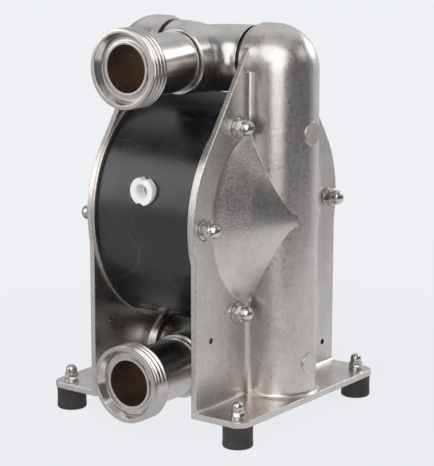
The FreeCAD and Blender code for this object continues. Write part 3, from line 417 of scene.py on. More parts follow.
@dataclass(frozen=True)
class MachinedPlastic(Finish):
    """Black plastic turned from solid, with fine tool lines, scuffs and a soft sheen."""

    base: Colour = (0.0025, 0.0029, 0.0048)
    worn: Colour = (0.0065, 0.0073, 0.0105)
    scuff: Colour = (0.05, 0.051, 0.054)
    dusty_top: Span = (PUMP_AXIS + 84 * MM, PUMP_AXIS + 89 * MM)
    roughness: Span = (0.2, 0.32)

    def paint(self, g: Graph) -> None:
        """Builds the black plastic's nodes."""
        lines = g.noise(1.0, blur=0.6, at=g.mapped((700.0, 3.0, 3.0)))
        bands = g.noise(1.0, blur=0.6, at=g.mapped((90.0, 5.0, 5.0)))
        smudge = g.noise(13, 5, blur=0.62, distortion=1.0)
        scuffs = g.noise(55, 7, blur=0.8, at=g.mapped((1.0, 5.0, 1.4), (0.4, 0.2, 0.5)))
        scuffed = g.span(scuffs, 0.58, 0.7, 0.0, 0.8)
        cracks = g.cells(17, g.mapped((0.5, 2.0, 1.0), (0.7, 0.1, 0.35)), "DISTANCE_TO_EDGE")
        broken = g.span(g.noise(30, 2), 0.5, 0.58)
        scratch = g.times(g.span(cracks, 0.0, 0.008, 0.65, 0.0), broken)
        colour = g.mix(g.span(smudge, 0.4, 0.7), self.base, self.worn)
        marks = g.calc("MAXIMUM", g.times(scuffed, 0.6), scratch)
        sheen = g.span(g.plus(smudge, g.times(bands, 0.6)), 0.6, 1.05, *self.roughness)
        dust = g.span(g.axes()[2], *self.dusty_top, 0.0, 0.5)
        normal = g.relief((g.noise(20, 2), 0.6 * MM, 0.25), (lines, 0.004 * MM, 0.6),
                          (scratch, 0.1 * MM, 0.5))
        g.surface(g.mix(marks, colour, self.scuff), g.plus(sheen, g.times(scuffed, 0.12), dust),
                  normal, IOR=1.65)


@dataclass(frozen=True)
class Rubber(Finish):
    """Moulded black rubber, dusty and a little browned where it is old."""

    base: Colour = (0.028, 0.026, 0.026)
    dust: Colour = (0.11, 0.085, 0.07)
    dusty: float = 0.4
    smooth: float = 0.5
    rough: float = 0.75

    def paint(self, g: Graph) -> None:
        """Builds the rubber's nodes."""
        blotches = g.noise(110, 6, blur=0.7, distortion=0.6)
        wiped = g.plus(blotches, g.times(g.noise(34), 0.6))
        worn = g.span(wiped, 0.82, 1.02, 0.0, self.dusty)
        skin = g.noise(900, blur=0.6)
        roughness = g.span(g.plus(skin, worn), 0.4, 1.0, self.smooth, self.rough)
        normal = g.relief((skin, 0.06 * MM, 0.5), (blotches, 0.2 * MM, 0.25))
        g.surface(g.mix(worn, self.base, self.dust), roughness, normal, IOR=1.5)


@dataclass(frozen=True)
class MouldedPlastic(Finish):
    """Pale moulded or sintered plastic."""

    base: Colour = (0.8, 0.8, 0.775)
    shade: Colour = (0.62, 0.61, 0.57)
    roughness: float = 0.38
    pores: float = 0.0
    grain: float = 0.02 * MM

    def paint(self, g: Graph) -> None:
        """Builds the pale plastic's nodes."""
        flow = g.noise(70, 4, blur=0.6)
        skin = g.noise(1300, 2)
        colour = g.mix(g.span(flow, 0.45, 0.75, 0.0, 0.55), self.base, self.shade)
        layers = [(skin, self.grain, 0.5)]
        if self.pores:
            balls = g.cells(1500)
            # Painted shade: the gaps between the sintered grains are darker.
            colour = g.mix(g.span(balls, 0.35, 0.75, 0.0, 0.6), colour, self.shade)
            layers.append((g.minus(1.0, balls), self.pores, 0.9))
        roughness = g.span(g.plus(flow, skin), 0.8, 1.2, self.roughness, self.roughness + 0.14)
        g.surface(colour, roughness, g.relief(*layers), IOR=1.49)


@dataclass(frozen=True)
class ColouredMetal(Finish):
    """Turned brass or anodised aluminium, for the parts inside the pump."""

    light: Colour = (0.74, 0.57, 0.29)
    dark: Colour = (0.6, 0.43, 0.2)

    def paint(self, g: Graph) -> None:
        """Builds the coloured metal's nodes."""
        lines = g.noise(1.0, at=g.mapped(Lay.AROUND_WIDTH.value))
        film = g.noise(55, 4, blur=0.6)
        colour = g.mix(g.span(g.plus(lines, film), 0.75, 1.25), self.dark, self.light)
        roughness = g.span(film, 0.35, 0.65, 0.2, 0.36)
        g.surface(colour, roughness, g.relief((lines, 0.03 * MM, 0.5)), Metallic=1.0)


CASTING = BlastedCasting("blasted_casting", "cast_steel")
TEE_STEEL = WorkedSteel("tee_steel", "turned_steel", smooth=0.2, rough=0.34, filmed=0.6,
                        light=(0.7, 0.68, 0.655), dark=(0.54, 0.52, 0.495))
UNION_STEEL = WorkedSteel("union_steel", "turned_steel", lay=Lay.AROUND_DEPTH, smooth=0.17,
                          rough=0.27, filmed=0.6, head=100 * MM,
                          light=(0.68, 0.65, 0.622), dark=(0.5, 0.475, 0.452))
PIN_STEEL = WorkedSteel("pin_steel", "turned_steel", lay=Lay.AROUND_WIDTH)
NUT_STEEL = WorkedSteel("nut_steel", "fastener_steel", smooth=0.1, rough=0.2,
                        light=(0.69, 0.662, 0.635), dark=(0.5, 0.475, 0.45))
WASHER_STEEL = WorkedSteel("washer_steel", "fastener_steel", smooth=0.2, rough=0.34)
BLOCK_PLASTIC = MachinedPlastic("turned_black_plastic", "block_plastic")
FOOT_RUBBER = Rubber("moulded_rubber", "foot_rubber")
SEAL_RUBBER = Rubber("pressed_rubber", "seal_rubber", base=(0.014, 0.014, 0.014), dusty=0.15,
                     smooth=0.38, rough=0.55)
WHITE_PLASTIC = MouldedPlastic("moulded_white_plastic", "white_plastic",
                               base=(0.88, 0.885, 0.885), shade=(0.8, 0.805, 0.81))
POROUS_PLASTIC = MouldedPlastic("porous_plastic", "silencer_plastic", roughness=0.62,
                                pores=0.35 * MM)
BALL_PLASTIC = MouldedPlastic("ground_ball_plastic", "ball_plastic", base=(0.84, 0.84, 0.82))
MEMBRANE_PLASTIC = MouldedPlastic("pressed_membrane", "membrane_plastic",
                                  base=(0.76, 0.76, 0.72), roughness=0.46)
BRASS = ColouredMetal("turned_brass", "valve_brass")
ALUMINIUM = ColouredMetal("anodised_aluminium", "valve_aluminium", light=(0.72, 0.73, 0.75),
                          dark=(0.58, 0.59, 0.61))


# ---- modelling by hand


def take(piece: Piece) -> None:
    """Selects this piece alone and makes it active."""
    bpy.ops.object.select_all(action="DESELECT")
    piece.select_set(True)
    bpy.context.view_layer.objects.active = piece


@contextmanager
def editing(piece: Piece) -> Iterator[None]:
    """Holds the piece in edit mode, with nothing selected at first."""
    take(piece)
    bpy.ops.object.mode_set(mode="EDIT")
    bpy.ops.mesh.select_mode(type="VERT")
    bpy.ops.mesh.select_all(action="DESELECT")
    yield
    bpy.ops.object.mode_set(mode="OBJECT")


def choose(piece: Piece, test: Callable[[bmesh.types.BMVert], bool]) -> None:
    """Selects the vertices that pass a test, of a piece in edit mode."""
    mesh = bmesh.from_edit_mesh(piece.data)
    for vertex in mesh.verts:
        vertex.select_set(test(vertex))
    mesh.select_flush_mode()
    bmesh.update_edit_mesh(piece.data)


def on_all(operator: Callable[..., object], **settings: object) -> None:
    """Selects the whole mesh in edit mode and uses an operator on it."""
    bpy.ops.mesh.select_all(action="SELECT")
    operator(**settings)


def primitive(name: str, operator: Callable[..., object], **settings: object) -> Piece:
    """Adds a primitive, names it and writes its place into its mesh.

    Args:
        name: The new piece's name.
        operator: The operator that adds it.
        **settings: The operator's settings.
    """
    operator(**settings)
    piece = bpy.context.object
    piece.name = piece.data.name = name
    bpy.ops.object.transform_apply()
    return piece


def modify(piece: Piece, kind: str, **settings: object) -> None:
    """Adds a modifier with its settings and applies it."""
    take(piece)
    modifier = piece.modifiers.new(kind.lower(), kind)
    for key, value in settings.items():
        setattr(modifier, key, value)
    bpy.ops.object.modifier_apply(modifier=modifier.name)


def combine(piece: Piece, tool: Piece, operation: str) -> None:
    """Joins, cuts or meets a piece with a tool, and throws the tool away."""
    modify(piece, "BOOLEAN", operation=operation, solver="EXACT", object=tool)
    bpy.data.objects.remove(tool)


def smooth(piece: Piece, angle: float) -> Piece:
    """Shades the piece smooth but for edges sharper than the angle in degrees."""
    take(piece)
    bpy.ops.object.shade_smooth_by_angle(angle=math.radians(angle))
    return piece


def rounded(corners: Sequence[tuple[float, ...]], steps: int = 5) -> list[Span]:
    """A profile with its corners rounded.

    Args:
        corners: Each corner's radius from the axis and place along it, and after them, where the
            corner is rounded, the radius of its round. The profile is closed.
        steps: How many runs each round has.

    Returns:
        The points of the profile in order.
    """
    points: list[Span] = []
    for index, corner in enumerate(corners):
        here = Vector(corner[:2])
        if len(corner) < 3:
            points.append((here.x, here.y))
            continue
        before = (Vector(corners[index - 1][:2]) - here).normalized()
        after = (Vector(corners[(index + 1) % len(corners)][:2]) - here).normalized()
        half = before.angle(after) / 2
        centre = here + (before + after).normalized() * corner[2] / math.sin(half)
        start = here + before * corner[2] / math.tan(half) - centre
        turn = (here + after * corner[2] / math.tan(half) - centre).angle_signed(start)
        for step in range(steps + 1):
            spoke = Matrix.Rotation(turn * step / steps, 2) @ start
            points.append((centre.x + spoke.x, centre.y + spoke.y))
    return points


def spun(name: str, profile: Sequence[Span], steps: int = 64) -> Piece:
    """Turns a closed profile about the Z axis.

    Args:
        name: The new piece's name.
        profile: The radius and height of each point, in metres.
        steps: How many runs go round.

    Returns:
        The turned piece, about its own Z axis.
    """
    piece = primitive(name, bpy.ops.mesh.primitive_plane_add, size=1.0)
    with editing(piece):
        on_all(bpy.ops.mesh.merge, type="CENTER")
        bpy.ops.transform.translate(value=(profile[0][0], 0.0, profile[0][1]))
        for (radius, height), (next_radius, next_height) in zip(profile, profile[1:]):
            move = {"value": (next_radius - radius, 0.0, next_height - height)}
            bpy.ops.mesh.extrude_region_move(TRANSFORM_OT_translate=move)
        choose(piece, lambda vertex: len(vertex.link_edges) == 1)
        bpy.ops.mesh.edge_face_add()
        on_all(bpy.ops.mesh.spin, steps=steps, angle=FULL_TURN, center=(0.0, 0.0, 0.0),
               axis=(0.0, 0.0, 1.0))
        on_all(bpy.ops.mesh.remove_doubles, threshold=0.004 * MM)
        on_all(bpy.ops.mesh.normals_make_consistent, inside=False)
    return piece


@dataclass(frozen=True)
class Thread:
    """A round thread that runs about a piece's own Z axis."""

    root: float
    crest: float
    pitch: float
    start: float
    end: float
    run_out: float = 1.2 * MM
    fullness: float = 0.8

    def rows(self, count: int) -> list[Span]:
        """Profile points on the root, close enough together to carry the thread."""
        step = (self.end - self.start) / count
        return [(self.root, self.start + step * index) for index in range(count + 1)]

    def cut(self, piece: Piece) -> None:
        """Raises the thread's ridge on a spun piece that has the thread's rows."""
        lift = self.crest - self.root
        for vertex in piece.data.vertices:
            x, y, z = vertex.co
            radius = math.hypot(x, y)
            if not (self.start <= z <= self.end and abs(radius - self.root) < ON_IT):
                continue
            turns = (z - self.start) / self.pitch - math.atan2(y, x) / FULL_TURN
            wave = 0.5 - 0.5 * math.cos(FULL_TURN * turns)
            ease = min(1.0, (z - self.start) / self.run_out, (self.end - z) / self.run_out)
            grown = (radius + lift * wave ** self.fullness * max(0.0, ease)) / radius
            vertex.co.x, vertex.co.y = x * grown, y * grown


# ---- the pump's sub-assemblies


@dataclass
class SubAssembly(ABC):
    """Pieces that are made together, and the finish that each of them gets."""

    frame: dict

    def body(self, node: str) -> str:
        """The body that a node of the frame rides on."""
        bodies = self.frame["record"]["behaviour"]["bodies"]
        return next(body for body, nodes in bodies.items() if node in nodes)

    def fit(self, piece: Piece, place: Matrix, finish: Finish, *nodes: str) -> None:
        """Puts a piece that stands for nodes of the frame in its place and dresses it.

        Args:
            piece: The finished piece, about its own origin.
            place: Where it goes. This is written into its mesh.
            finish: The surface that it gets.
            *nodes: The frame's nodes that it stands for, all on one body.
        """
        take(piece)
        piece.matrix_world = place
        bpy.ops.object.transform_apply()
        piece.data.materials.append(finish.material())
        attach(piece, self.body(nodes[0]))
        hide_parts(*nodes)
        LOG.info("%s: %d faces", piece.name, len(piece.data.polygons))

    def repeat(self, source: Piece, name: str, place: Matrix, finish: Finish, node: str) -> None:
        """Copies a piece to one of its places.

        Args:
            source: The piece, about its own origin.
            name: The copy's name.
            place: Where the copy goes.
            finish: The surface that it gets.
            node: The frame's node that it stands for.
        """
        twin = source.copy()
        twin.data = source.data.copy()
        twin.name = twin.data.name = name
        bpy.context.scene.collection.objects.link(twin)
        self.fit(twin, place, finish, node)

    def keep(self, finish: Finish, *nodes: str) -> None:
        """Gives nodes that keep their own shape a worked finish."""
        for node in nodes:
            for slot in self.frame["nodes"][node].material_slots:
                slot.material = finish.material()
            LOG.info("%s: kept from the frame, %s", node, finish.name)

    @abstractmethod
    def make(self) -> None:
        """Models and dresses the sub-assembly's pieces."""


@dataclass
class KeptParts(SubAssembly):
    """The housings, the block and the parts that they hide, in the frame's own shapes."""

    def make(self) -> None:
        """Dresses the castings, the drive, the check valves, the air valve and the rods."""
        self.keep(CASTING, "right_housing", "left_housing")
        self.keep(BLOCK_PLASTIC, "centre_block")
        self.keep(BALL_PLASTIC, "suction_ball_right", "suction_ball_left",
                  "discharge_ball_right", "discharge_ball_left")
        self.keep(MEMBRANE_PLASTIC, "diaphragm_right", "diaphragm_left")
        self.keep(PIN_STEEL, "suction_seats", "discharge_seats", "ball_stop_pins",
                  "diaphragm_shaft", "diaphragm_cores", "tie_rods", "foot_inserts", "foot_studs")
        self.keep(SEAL_RUBBER, "shaft_seals")
        self.keep(BRASS, "air_valve_sleeve")
        self.keep(ALUMINIUM, "air_valve_spool", "air_valve_caps")


@dataclass(frozen=True)
class DomedNut:
    """A hexagon nut with a polished dome."""

    flats: float
    hex_height: float
    height: float
    dome_radius: float
    chamfer: float = 30.0

    def model(self, name: str) -> Piece:
        """Models the nut about its own Z axis, seated at height zero."""
        corner, top = self.flats / math.sqrt(3), self.hex_height
        nut = primitive(name, bpy.ops.mesh.primitive_cylinder_add, vertices=6, radius=corner,
                        depth=top, location=(0.0, 0.0, top / 2))
        face = self.flats / 2 * 0.96
        reach = corner * 1.2
        drop = (reach - face) * math.tan(math.radians(self.chamfer))
        combine(nut, spun("chamfer_tool", [
            (0.0, 0.0), (face, 0.0), (reach, drop), (reach, top - drop), (face, top),
            (0.0, top)], steps=72), "INTERSECT")
        neck = self.dome_radius * 0.94
        straight = self.height - self.dome_radius
        arc = [math.radians(angle) for angle in range(9, 90, 9)]
        combine(nut, spun("dome", rounded([
            (0.0, top * 0.6), (neck, top * 0.6), (neck, top + 0.35 * MM),
            (self.dome_radius, top + 0.7 * MM, 0.2 * MM), (self.dome_radius, straight),
            *[(self.dome_radius * math.cos(angle), straight + self.dome_radius * math.sin(angle))
              for angle in arc],
            (0.0, self.height)]), steps=48), "UNION")
        modify(nut, "BEVEL", width=0.12 * MM, segments=2, limit_method="ANGLE",
               angle_limit=math.radians(25))
        return smooth(nut, 28)


@dataclass(frozen=True)
class Washer:
    """A flat washer, stamped, so that its upper edge is rounded and its lower one sharp."""

    bore: float
    radius: float
    thickness: float

    def model(self, name: str) -> Piece:
        """Models the washer about its own Z axis, seated at height zero."""
        return smooth(spun(name, rounded([
            (self.bore, 0.0, 0.08 * MM), (self.radius, 0.0, 0.08 * MM),
            (self.radius, self.thickness, 0.3 * MM),
            (self.bore, self.thickness, 0.15 * MM)], steps=3), steps=48), 32)


@dataclass
class TieRodFasteners(SubAssembly):
    """The domed nuts and washers at both ends of the six tie rods."""

    circle: float = 88 * MM
    seat: float = 54 * MM
    washer: Washer = Washer(bore=4.4 * MM, radius=8 * MM, thickness=1.6 * MM)
    nut: DomedNut = DomedNut(flats=13 * MM, hex_height=6.5 * MM, height=15 * MM,
                             dome_radius=6.25 * MM)
    turns: tuple[float, ...] = (12.0, 41.0, 3.0, 25.0, 52.0, 18.0)

    def make(self) -> None:
        """Models one nut and one washer, and copies them to the twelve rod ends."""
        nut, washer = self.nut.model("tie_rod_nut"), self.washer.model("tie_rod_washer")
        count = len(self.turns)
        for index in range(count):
            angle = math.radians(360 / count * index)
            y, z = self.circle * math.cos(angle), PUMP_AXIS + self.circle * math.sin(angle)
            for label, side, facing in SIDES:
                turn = math.radians(self.turns[index * side % count])
                top = (self.seat + self.washer.thickness) * side
                self.repeat(nut, f"rod_nut_{label}_{index + 1}",
                            facing.matrix((top, y, z), turn), NUT_STEEL, "tie_rod_nuts")
                self.repeat(washer, f"rod_washer_{label}_{index + 1}",
                            facing.matrix((self.seat * side, y, z)), WASHER_STEEL,
                            "tie_rod_washers")
        bpy.data.objects.remove(nut)
        bpy.data.objects.remove(washer)


@dataclass
class Feet(SubAssembly):
    """The four rubber feet with the nuts and washers that hold them."""

    offset: Span = (87.4 * MM, 87 * MM)
    radius: float = 12.5 * MM
    height: float = 18.5 * MM
    flange_top: float = 23.5 * MM
    insert_radius: float = 5 * MM
    insert_length: float = 8 * MM
    stud_radius: float = 3 * MM
    stud_embedded: float = 6 * MM
    washer: Washer = Washer(bore=3.3 * MM, radius=6 * MM, thickness=1.6 * MM)
    nut: DomedNut = DomedNut(flats=10 * MM, hex_height=5 * MM, height=12 * MM,
                             dome_radius=4.75 * MM)
    turn: float = 17.0

    def foot(self) -> Piece:
        """Models one foot: a stub with a rounded tread, a waist and a bonded top edge."""
        waist, stud_end = self.radius - 0.25 * MM, self.height - self.stud_embedded
        return smooth(spun("rubber_foot", rounded([
            (self.insert_radius, 0.0, 0.3 * MM), (self.radius - 0.1 * MM, 0.0, 1.4 * MM),
            (self.radius, 3.2 * MM, 0.8 * MM), (waist, 6.0 * MM, 3 * MM),
            (waist, 14.5 * MM, 3 * MM), (self.radius, 16.8 * MM, 0.6 * MM),
            (self.radius, self.height, 0.4 * MM), (self.stud_radius, self.height),
            (self.stud_radius, stud_end), (0.0, stud_end), (0.0, self.insert_length),
            (self.insert_radius, self.insert_length)], steps=4), steps=72), 40)

    def make(self) -> None:
        """Models one foot, nut and washer, and copies them to the four corners."""
        x, y = self.offset
        places = [(x * a, y * b) for a in (-1, 1) for b in (-1, 1)]
        sources = (
            (self.foot(), 0.0, FOOT_RUBBER, "rubber_feet"),
            (self.washer.model("foot_washer"), self.flange_top, WASHER_STEEL, "foot_washers"),
            (self.nut.model("foot_nut"), self.flange_top + self.washer.thickness, NUT_STEEL,
             "foot_nuts"))
        for index, place in enumerate(places, start=1):
            turn = math.radians(self.turn * index)
            for source, height, finish, node in sources:
                self.repeat(source, f"{source.name}_{index}",
                            Facing.UP.matrix((*place, height), turn), finish, node)
        for source, *_ in sources:
            bpy.data.objects.remove(source)


@dataclass
class Port(SubAssembly):
    """One swept tee with its union, its port seal and its two elbow seals."""

    name: str = "outlet"
    height: float = OUTLET_HEIGHT
    tee_radius: float = 27.5 * MM
    tee_bore: float = 20 * MM
    branch_reach: float = 53 * MM
    rim: float = 1 * MM
    spigot_radius: float = 22.5 * MM
    spigot_start: float = 45 * MM
    seal_width: float = 4 * MM
    seal_radius: float = 26.5 * MM
    port_seal_radius: float = 24 * MM
    port_seal_width: float = 1.5 * MM
    bore: float = 19 * MM
    reach: float = 122 * MM
    tube_radius: float = 24.5 * MM
    thread: Thread = Thread(root=30.4 * MM, crest=32.05 * MM, pitch=25.4 / 6 * MM,
                            start=103.6 * MM, end=120.3 * MM)
    crotch_reach: float = 7 * MM
    crotch_rounds: int = 14

    def half_shell(self, name: str, radius: float, runs: Sequence[Span]) -> Piece:
        """Sweeps a circle through one quarter bend and cuts it on the pump's middle plane.

        Args:
            name: The shell's name.
            radius: The circle's radius.
            runs: How far forward each straight run of the branch ends, and its end's scale.
        """
        shell = primitive(name, bpy.ops.mesh.primitive_circle_add, vertices=80, radius=radius,
                          location=(TEE_END, 0.0, 0.0), rotation=(0.0, QUARTER_TURN, 0.0))
        with editing(shell):
            on_all(bpy.ops.mesh.spin, steps=30, angle=QUARTER_TURN,
                   center=(TEE_END, -TEE_END, 0.0), axis=(0.0, 0.0, -1.0))
            at = -TEE_END
            choose(shell, lambda vertex: abs(vertex.co.y + TEE_END) < ON_IT)
            for to, scale in runs:
                move = {"value": (0.0, to - at, 0.0)}
                bpy.ops.mesh.extrude_region_move(TRANSFORM_OT_translate=move)
                if scale != 1.0:
                    bpy.ops.transform.resize(value=(scale, 1.0, scale),
                                             center_override=(0.0, to, 0.0))
                at = to
            on_all(bpy.ops.mesh.bisect, plane_co=(0.0, 0.0, 0.0), plane_no=(1.0, 0.0, 0.0),
                   clear_inner=True, threshold=0.0005 * MM)
        return shell

    def make(self) -> None:
        """Models and dresses the tee, the union and the seals."""
        self.make_tee()
        self.make_union()
        self.make_seals()

    def make_tee(self) -> None:
        """Models the tee: two mirrored quarter bends that run together into one branch."""
        front = -self.branch_reach
        tee = self.half_shell(f"{self.name}_tee", self.tee_radius, [
            (front + self.rim, 1.0), (front, (self.tee_radius - self.rim) / self.tee_radius)])
        inner = self.half_shell("tee_inside", self.tee_bore, [
            (-self.spigot_start, 1.0), (-self.spigot_start, self.spigot_radius / self.tee_bore),
            (front, 1.0)])
        take(tee)
        inner.select_set(True)
        bpy.ops.object.join()
        modify(tee, "MIRROR", use_axis=(True, False, False), use_mirror_merge=True,
               merge_threshold=ON_IT)
        with editing(tee):
            choose(tee, lambda vertex: abs(vertex.co.y - front) < ON_IT)
            bpy.ops.mesh.bridge_edge_loops()
            choose(tee, self.beside_crotch)
            bpy.ops.mesh.vertices_smooth(factor=0.5, repeat=self.crotch_rounds)
            on_all(bpy.ops.mesh.remove_doubles, threshold=0.002 * MM)
            on_all(bpy.ops.mesh.normals_make_consistent, inside=False)
        self.fit(smooth(tee, 30), Matrix.Translation((0.0, 0.0, self.height)), TEE_STEEL,
                 f"{self.name}_manifold")

    def beside_crotch(self, vertex: bmesh.types.BMVert) -> bool:
        """Whether a vertex is outside, where the tee's two bends meet, and off the branch."""
        x, y, z = vertex.co
        off_hub = math.hypot(x - math.copysign(TEE_END, x), y + TEE_END)
        off_axis = math.hypot(off_hub - TEE_END, z)
        return (abs(x) < self.crotch_reach and y > 0.5 * MM - TEE_END
                and off_axis > (self.tee_radius + self.tee_bore) / 2)

    def make_union(self) -> None:
        """Models the union: a tube with a spigot at its back and a threaded head in front."""
        neck = self.branch_reach + self.port_seal_width
        root, reach = self.thread.root, self.reach
        union = spun(f"{self.name}_union_body", [
            *rounded([(self.bore, self.spigot_start), (self.spigot_radius, self.spigot_start),
                      (self.spigot_radius, neck), (self.tube_radius, neck, 0.25 * MM),
                      (self.tube_radius, 101.6 * MM, 2.2 * MM), (29.6 * MM, 102.6 * MM, 0.5 * MM),
                      (self.bore, 120 * MM)])[:-1],
            *self.thread.rows(64),
            *rounded([(self.bore, 60 * MM), (root, 120.35 * MM), (31.7 * MM, 120.5 * MM, 0.3 * MM),
                      (31.8 * MM, reach, 0.55 * MM), (28.3 * MM, reach, 0.5 * MM),
                      (25.1 * MM, 115.6 * MM, 0.5 * MM), (21.6 * MM, 115.6 * MM, 0.2 * MM),
                      (21.5 * MM, 117 * MM, 0.3 * MM), (self.bore, 117 * MM, 0.45 * MM)])[1:],
        ], steps=128)
        self.thread.cut(union)
        self.fit(smooth(union, 35), Facing.FRONT.matrix((0.0, 0.0, self.height)), UNION_STEEL,
                 f"{self.name}_union")

    def seal(self, name: str, inner: float, outer: float, width: float, edge: float,
             steps: int = 5) -> Piece:
        """Models a flat seal whose outer edges are rounded."""
        return smooth(spun(f"{self.name}_{name}", rounded([
            (inner, 0.0), (outer, 0.0, edge), (outer, width, edge), (inner, width)],
            steps=steps), steps=80), 40)

    def make_seals(self) -> None:
        """Models the elbow seals, whose outer face bulges a little, and the thin port seal."""
        for label, side, facing in SIDES:
            ring = self.seal(f"elbow_seal_{label}", self.bore, self.seal_radius, self.seal_width,
                             0.8 * MM)
            self.fit(ring, facing.matrix((ELBOW_END * side, 0.0, self.height)), SEAL_RUBBER,
                     f"{self.name}_seals")
        ring = self.seal("thin_seal", self.spigot_radius, self.port_seal_radius,
                         self.port_seal_width, 0.4 * MM, steps=3)
        self.fit(ring, Facing.FRONT.matrix((0.0, -self.branch_reach, self.height)), SEAL_RUBBER,
                 f"{self.name}_port_seal")


@dataclass
class AirFittings(SubAssembly):
    """The white air inlet adapter on the front and the silencer on the back."""

    height: float = 198 * MM
    seat: float = 93 * MM
    radius: float = 11.5 * MM
    thickness: float = 6.5 * MM
    bore: float = 5.7 * MM
    bore_depth: float = 9 * MM
    lead: float = 0.9 * MM
    drill: float = 3.75 * MM
    thread_radius: float = 8 * MM
    thread_length: float = 12 * MM
    notch_radius: float = 4.6 * MM
    notch_turn: float = 0.14
    notch_depth: float = 2.0 * MM
    silencer_radius: float = 12.5 * MM
    silencer_length: float = 52 * MM
    rings: int = 7

    def make(self) -> None:
        """Models and dresses both fittings."""
        self.make_adapter()
        self.make_silencer()

    def make_adapter(self) -> None:
        """Models the adapter: a notched round head with a threaded bore, on a plain round shank."""
        top, bottom = self.thickness, self.thickness - self.bore_depth
        thread = Thread(root=self.bore, crest=self.bore + 0.6 * MM, pitch=1.34 * MM,
                        start=bottom + 0.6 * MM, end=top - self.lead, run_out=0.5 * MM)
        adapter = spun("air_adapter", [
            *rounded([(self.drill, -self.thread_length),
                      (self.thread_radius, -self.thread_length, 0.6 * MM),
                      (self.thread_radius, 0.0), (self.radius, 0.0, 0.4 * MM),
                      (self.radius, top, 0.9 * MM), (self.bore + self.lead, top, 0.2 * MM),
                      (self.bore, top - self.lead)])[:-1],
            *reversed(thread.rows(54)),
            (self.bore, bottom),
            (self.drill, bottom),
        ], steps=72)
        thread.cut(adapter)
        away = self.radius + self.notch_radius - self.notch_depth
        for side in (1, -1):
            angle = side * QUARTER_TURN - self.notch_turn
            combine(adapter, primitive(
                "notch_tool", bpy.ops.mesh.primitive_cylinder_add, vertices=48,
                radius=self.notch_radius, depth=top + 4 * MM,
                location=(away * math.cos(angle), away * math.sin(angle), top / 2)), "DIFFERENCE")
        self.fit(smooth(adapter, 35), Facing.FRONT.matrix((0.0, -self.seat, self.height)),
                 WHITE_PLASTIC, "air_inlet_adapter")

    def make_silencer(self) -> None:
        """Models the silencer: a hexagon collar and a porous body with shallow rings."""
        rim, end = self.silencer_radius, self.silencer_length
        rings = [(radius, (12 + 5 * index + along) * MM, edge * MM)
                 for index in range(self.rings)
                 for radius, along, edge in ((rim, 0.0, 0.3), (rim - 0.4 * MM, 0.6, 0.2),
                                             (rim - 0.4 * MM, 1.2, 0.2), (rim, 1.8, 0.3))]
        shell = spun("silencer", rounded([
            (7 * MM, -14 * MM), (10.5 * MM, -14 * MM, 0.8 * MM), (10.5 * MM, 0.0),
            (12.2 * MM, 0.0), (12.2 * MM, 7.5 * MM), (rim, 8.5 * MM), *rings,
            (rim, end, 5.5 * MM), (0.0, end), (0.0, end - 3 * MM), (7 * MM, end - 3 * MM)],
            steps=3))
        collar = primitive("collar", bpy.ops.mesh.primitive_cylinder_add, vertices=6,
                           radius=14 * MM, depth=6.8 * MM, location=(0.0, 0.0, 3.5 * MM))
        modify(collar, "BEVEL", width=0.5 * MM, segments=3, limit_method="ANGLE")
        combine(shell, collar, "UNION")
        self.fit(smooth(shell, 32), Facing.BACK.matrix((0.0, self.seat, self.height)),
                 POROUS_PLASTIC, "exhaust_silencer")


# ---- the studio


def looking(place: Point, aim: Point, roll: float = 0.0) -> Matrix:
    """The place of a camera or a light that looks at a point."""
    look = (Vector(aim) - Vector(place)).to_track_quat("-Z", "Y").to_matrix().to_4x4()
    return Matrix.Translation(place) @ look @ Matrix.Rotation(roll, 4, "Z")


@dataclass(frozen=True)
class Softbox:
    """A rectangular soft light that faces the middle of the pump, its power in watts."""

    name: str
    place: Point
    size: Span
    power: float
    colour: Colour = (1.0, 1.0, 1.0)
    aim: Point = (0.0, 0.0, 0.16)

    def hang(self) -> None:
        """Hangs the light."""
        data = bpy.data.lights.new(self.name, "AREA")
        data.shape, data.size, data.size_y = "RECTANGLE", *self.size
        data.energy, data.color = self.power, self.colour
        light = bpy.data.objects.new(self.name, data)
        bpy.context.scene.collection.objects.link(light)
        light.matrix_world = looking(self.place, self.aim)


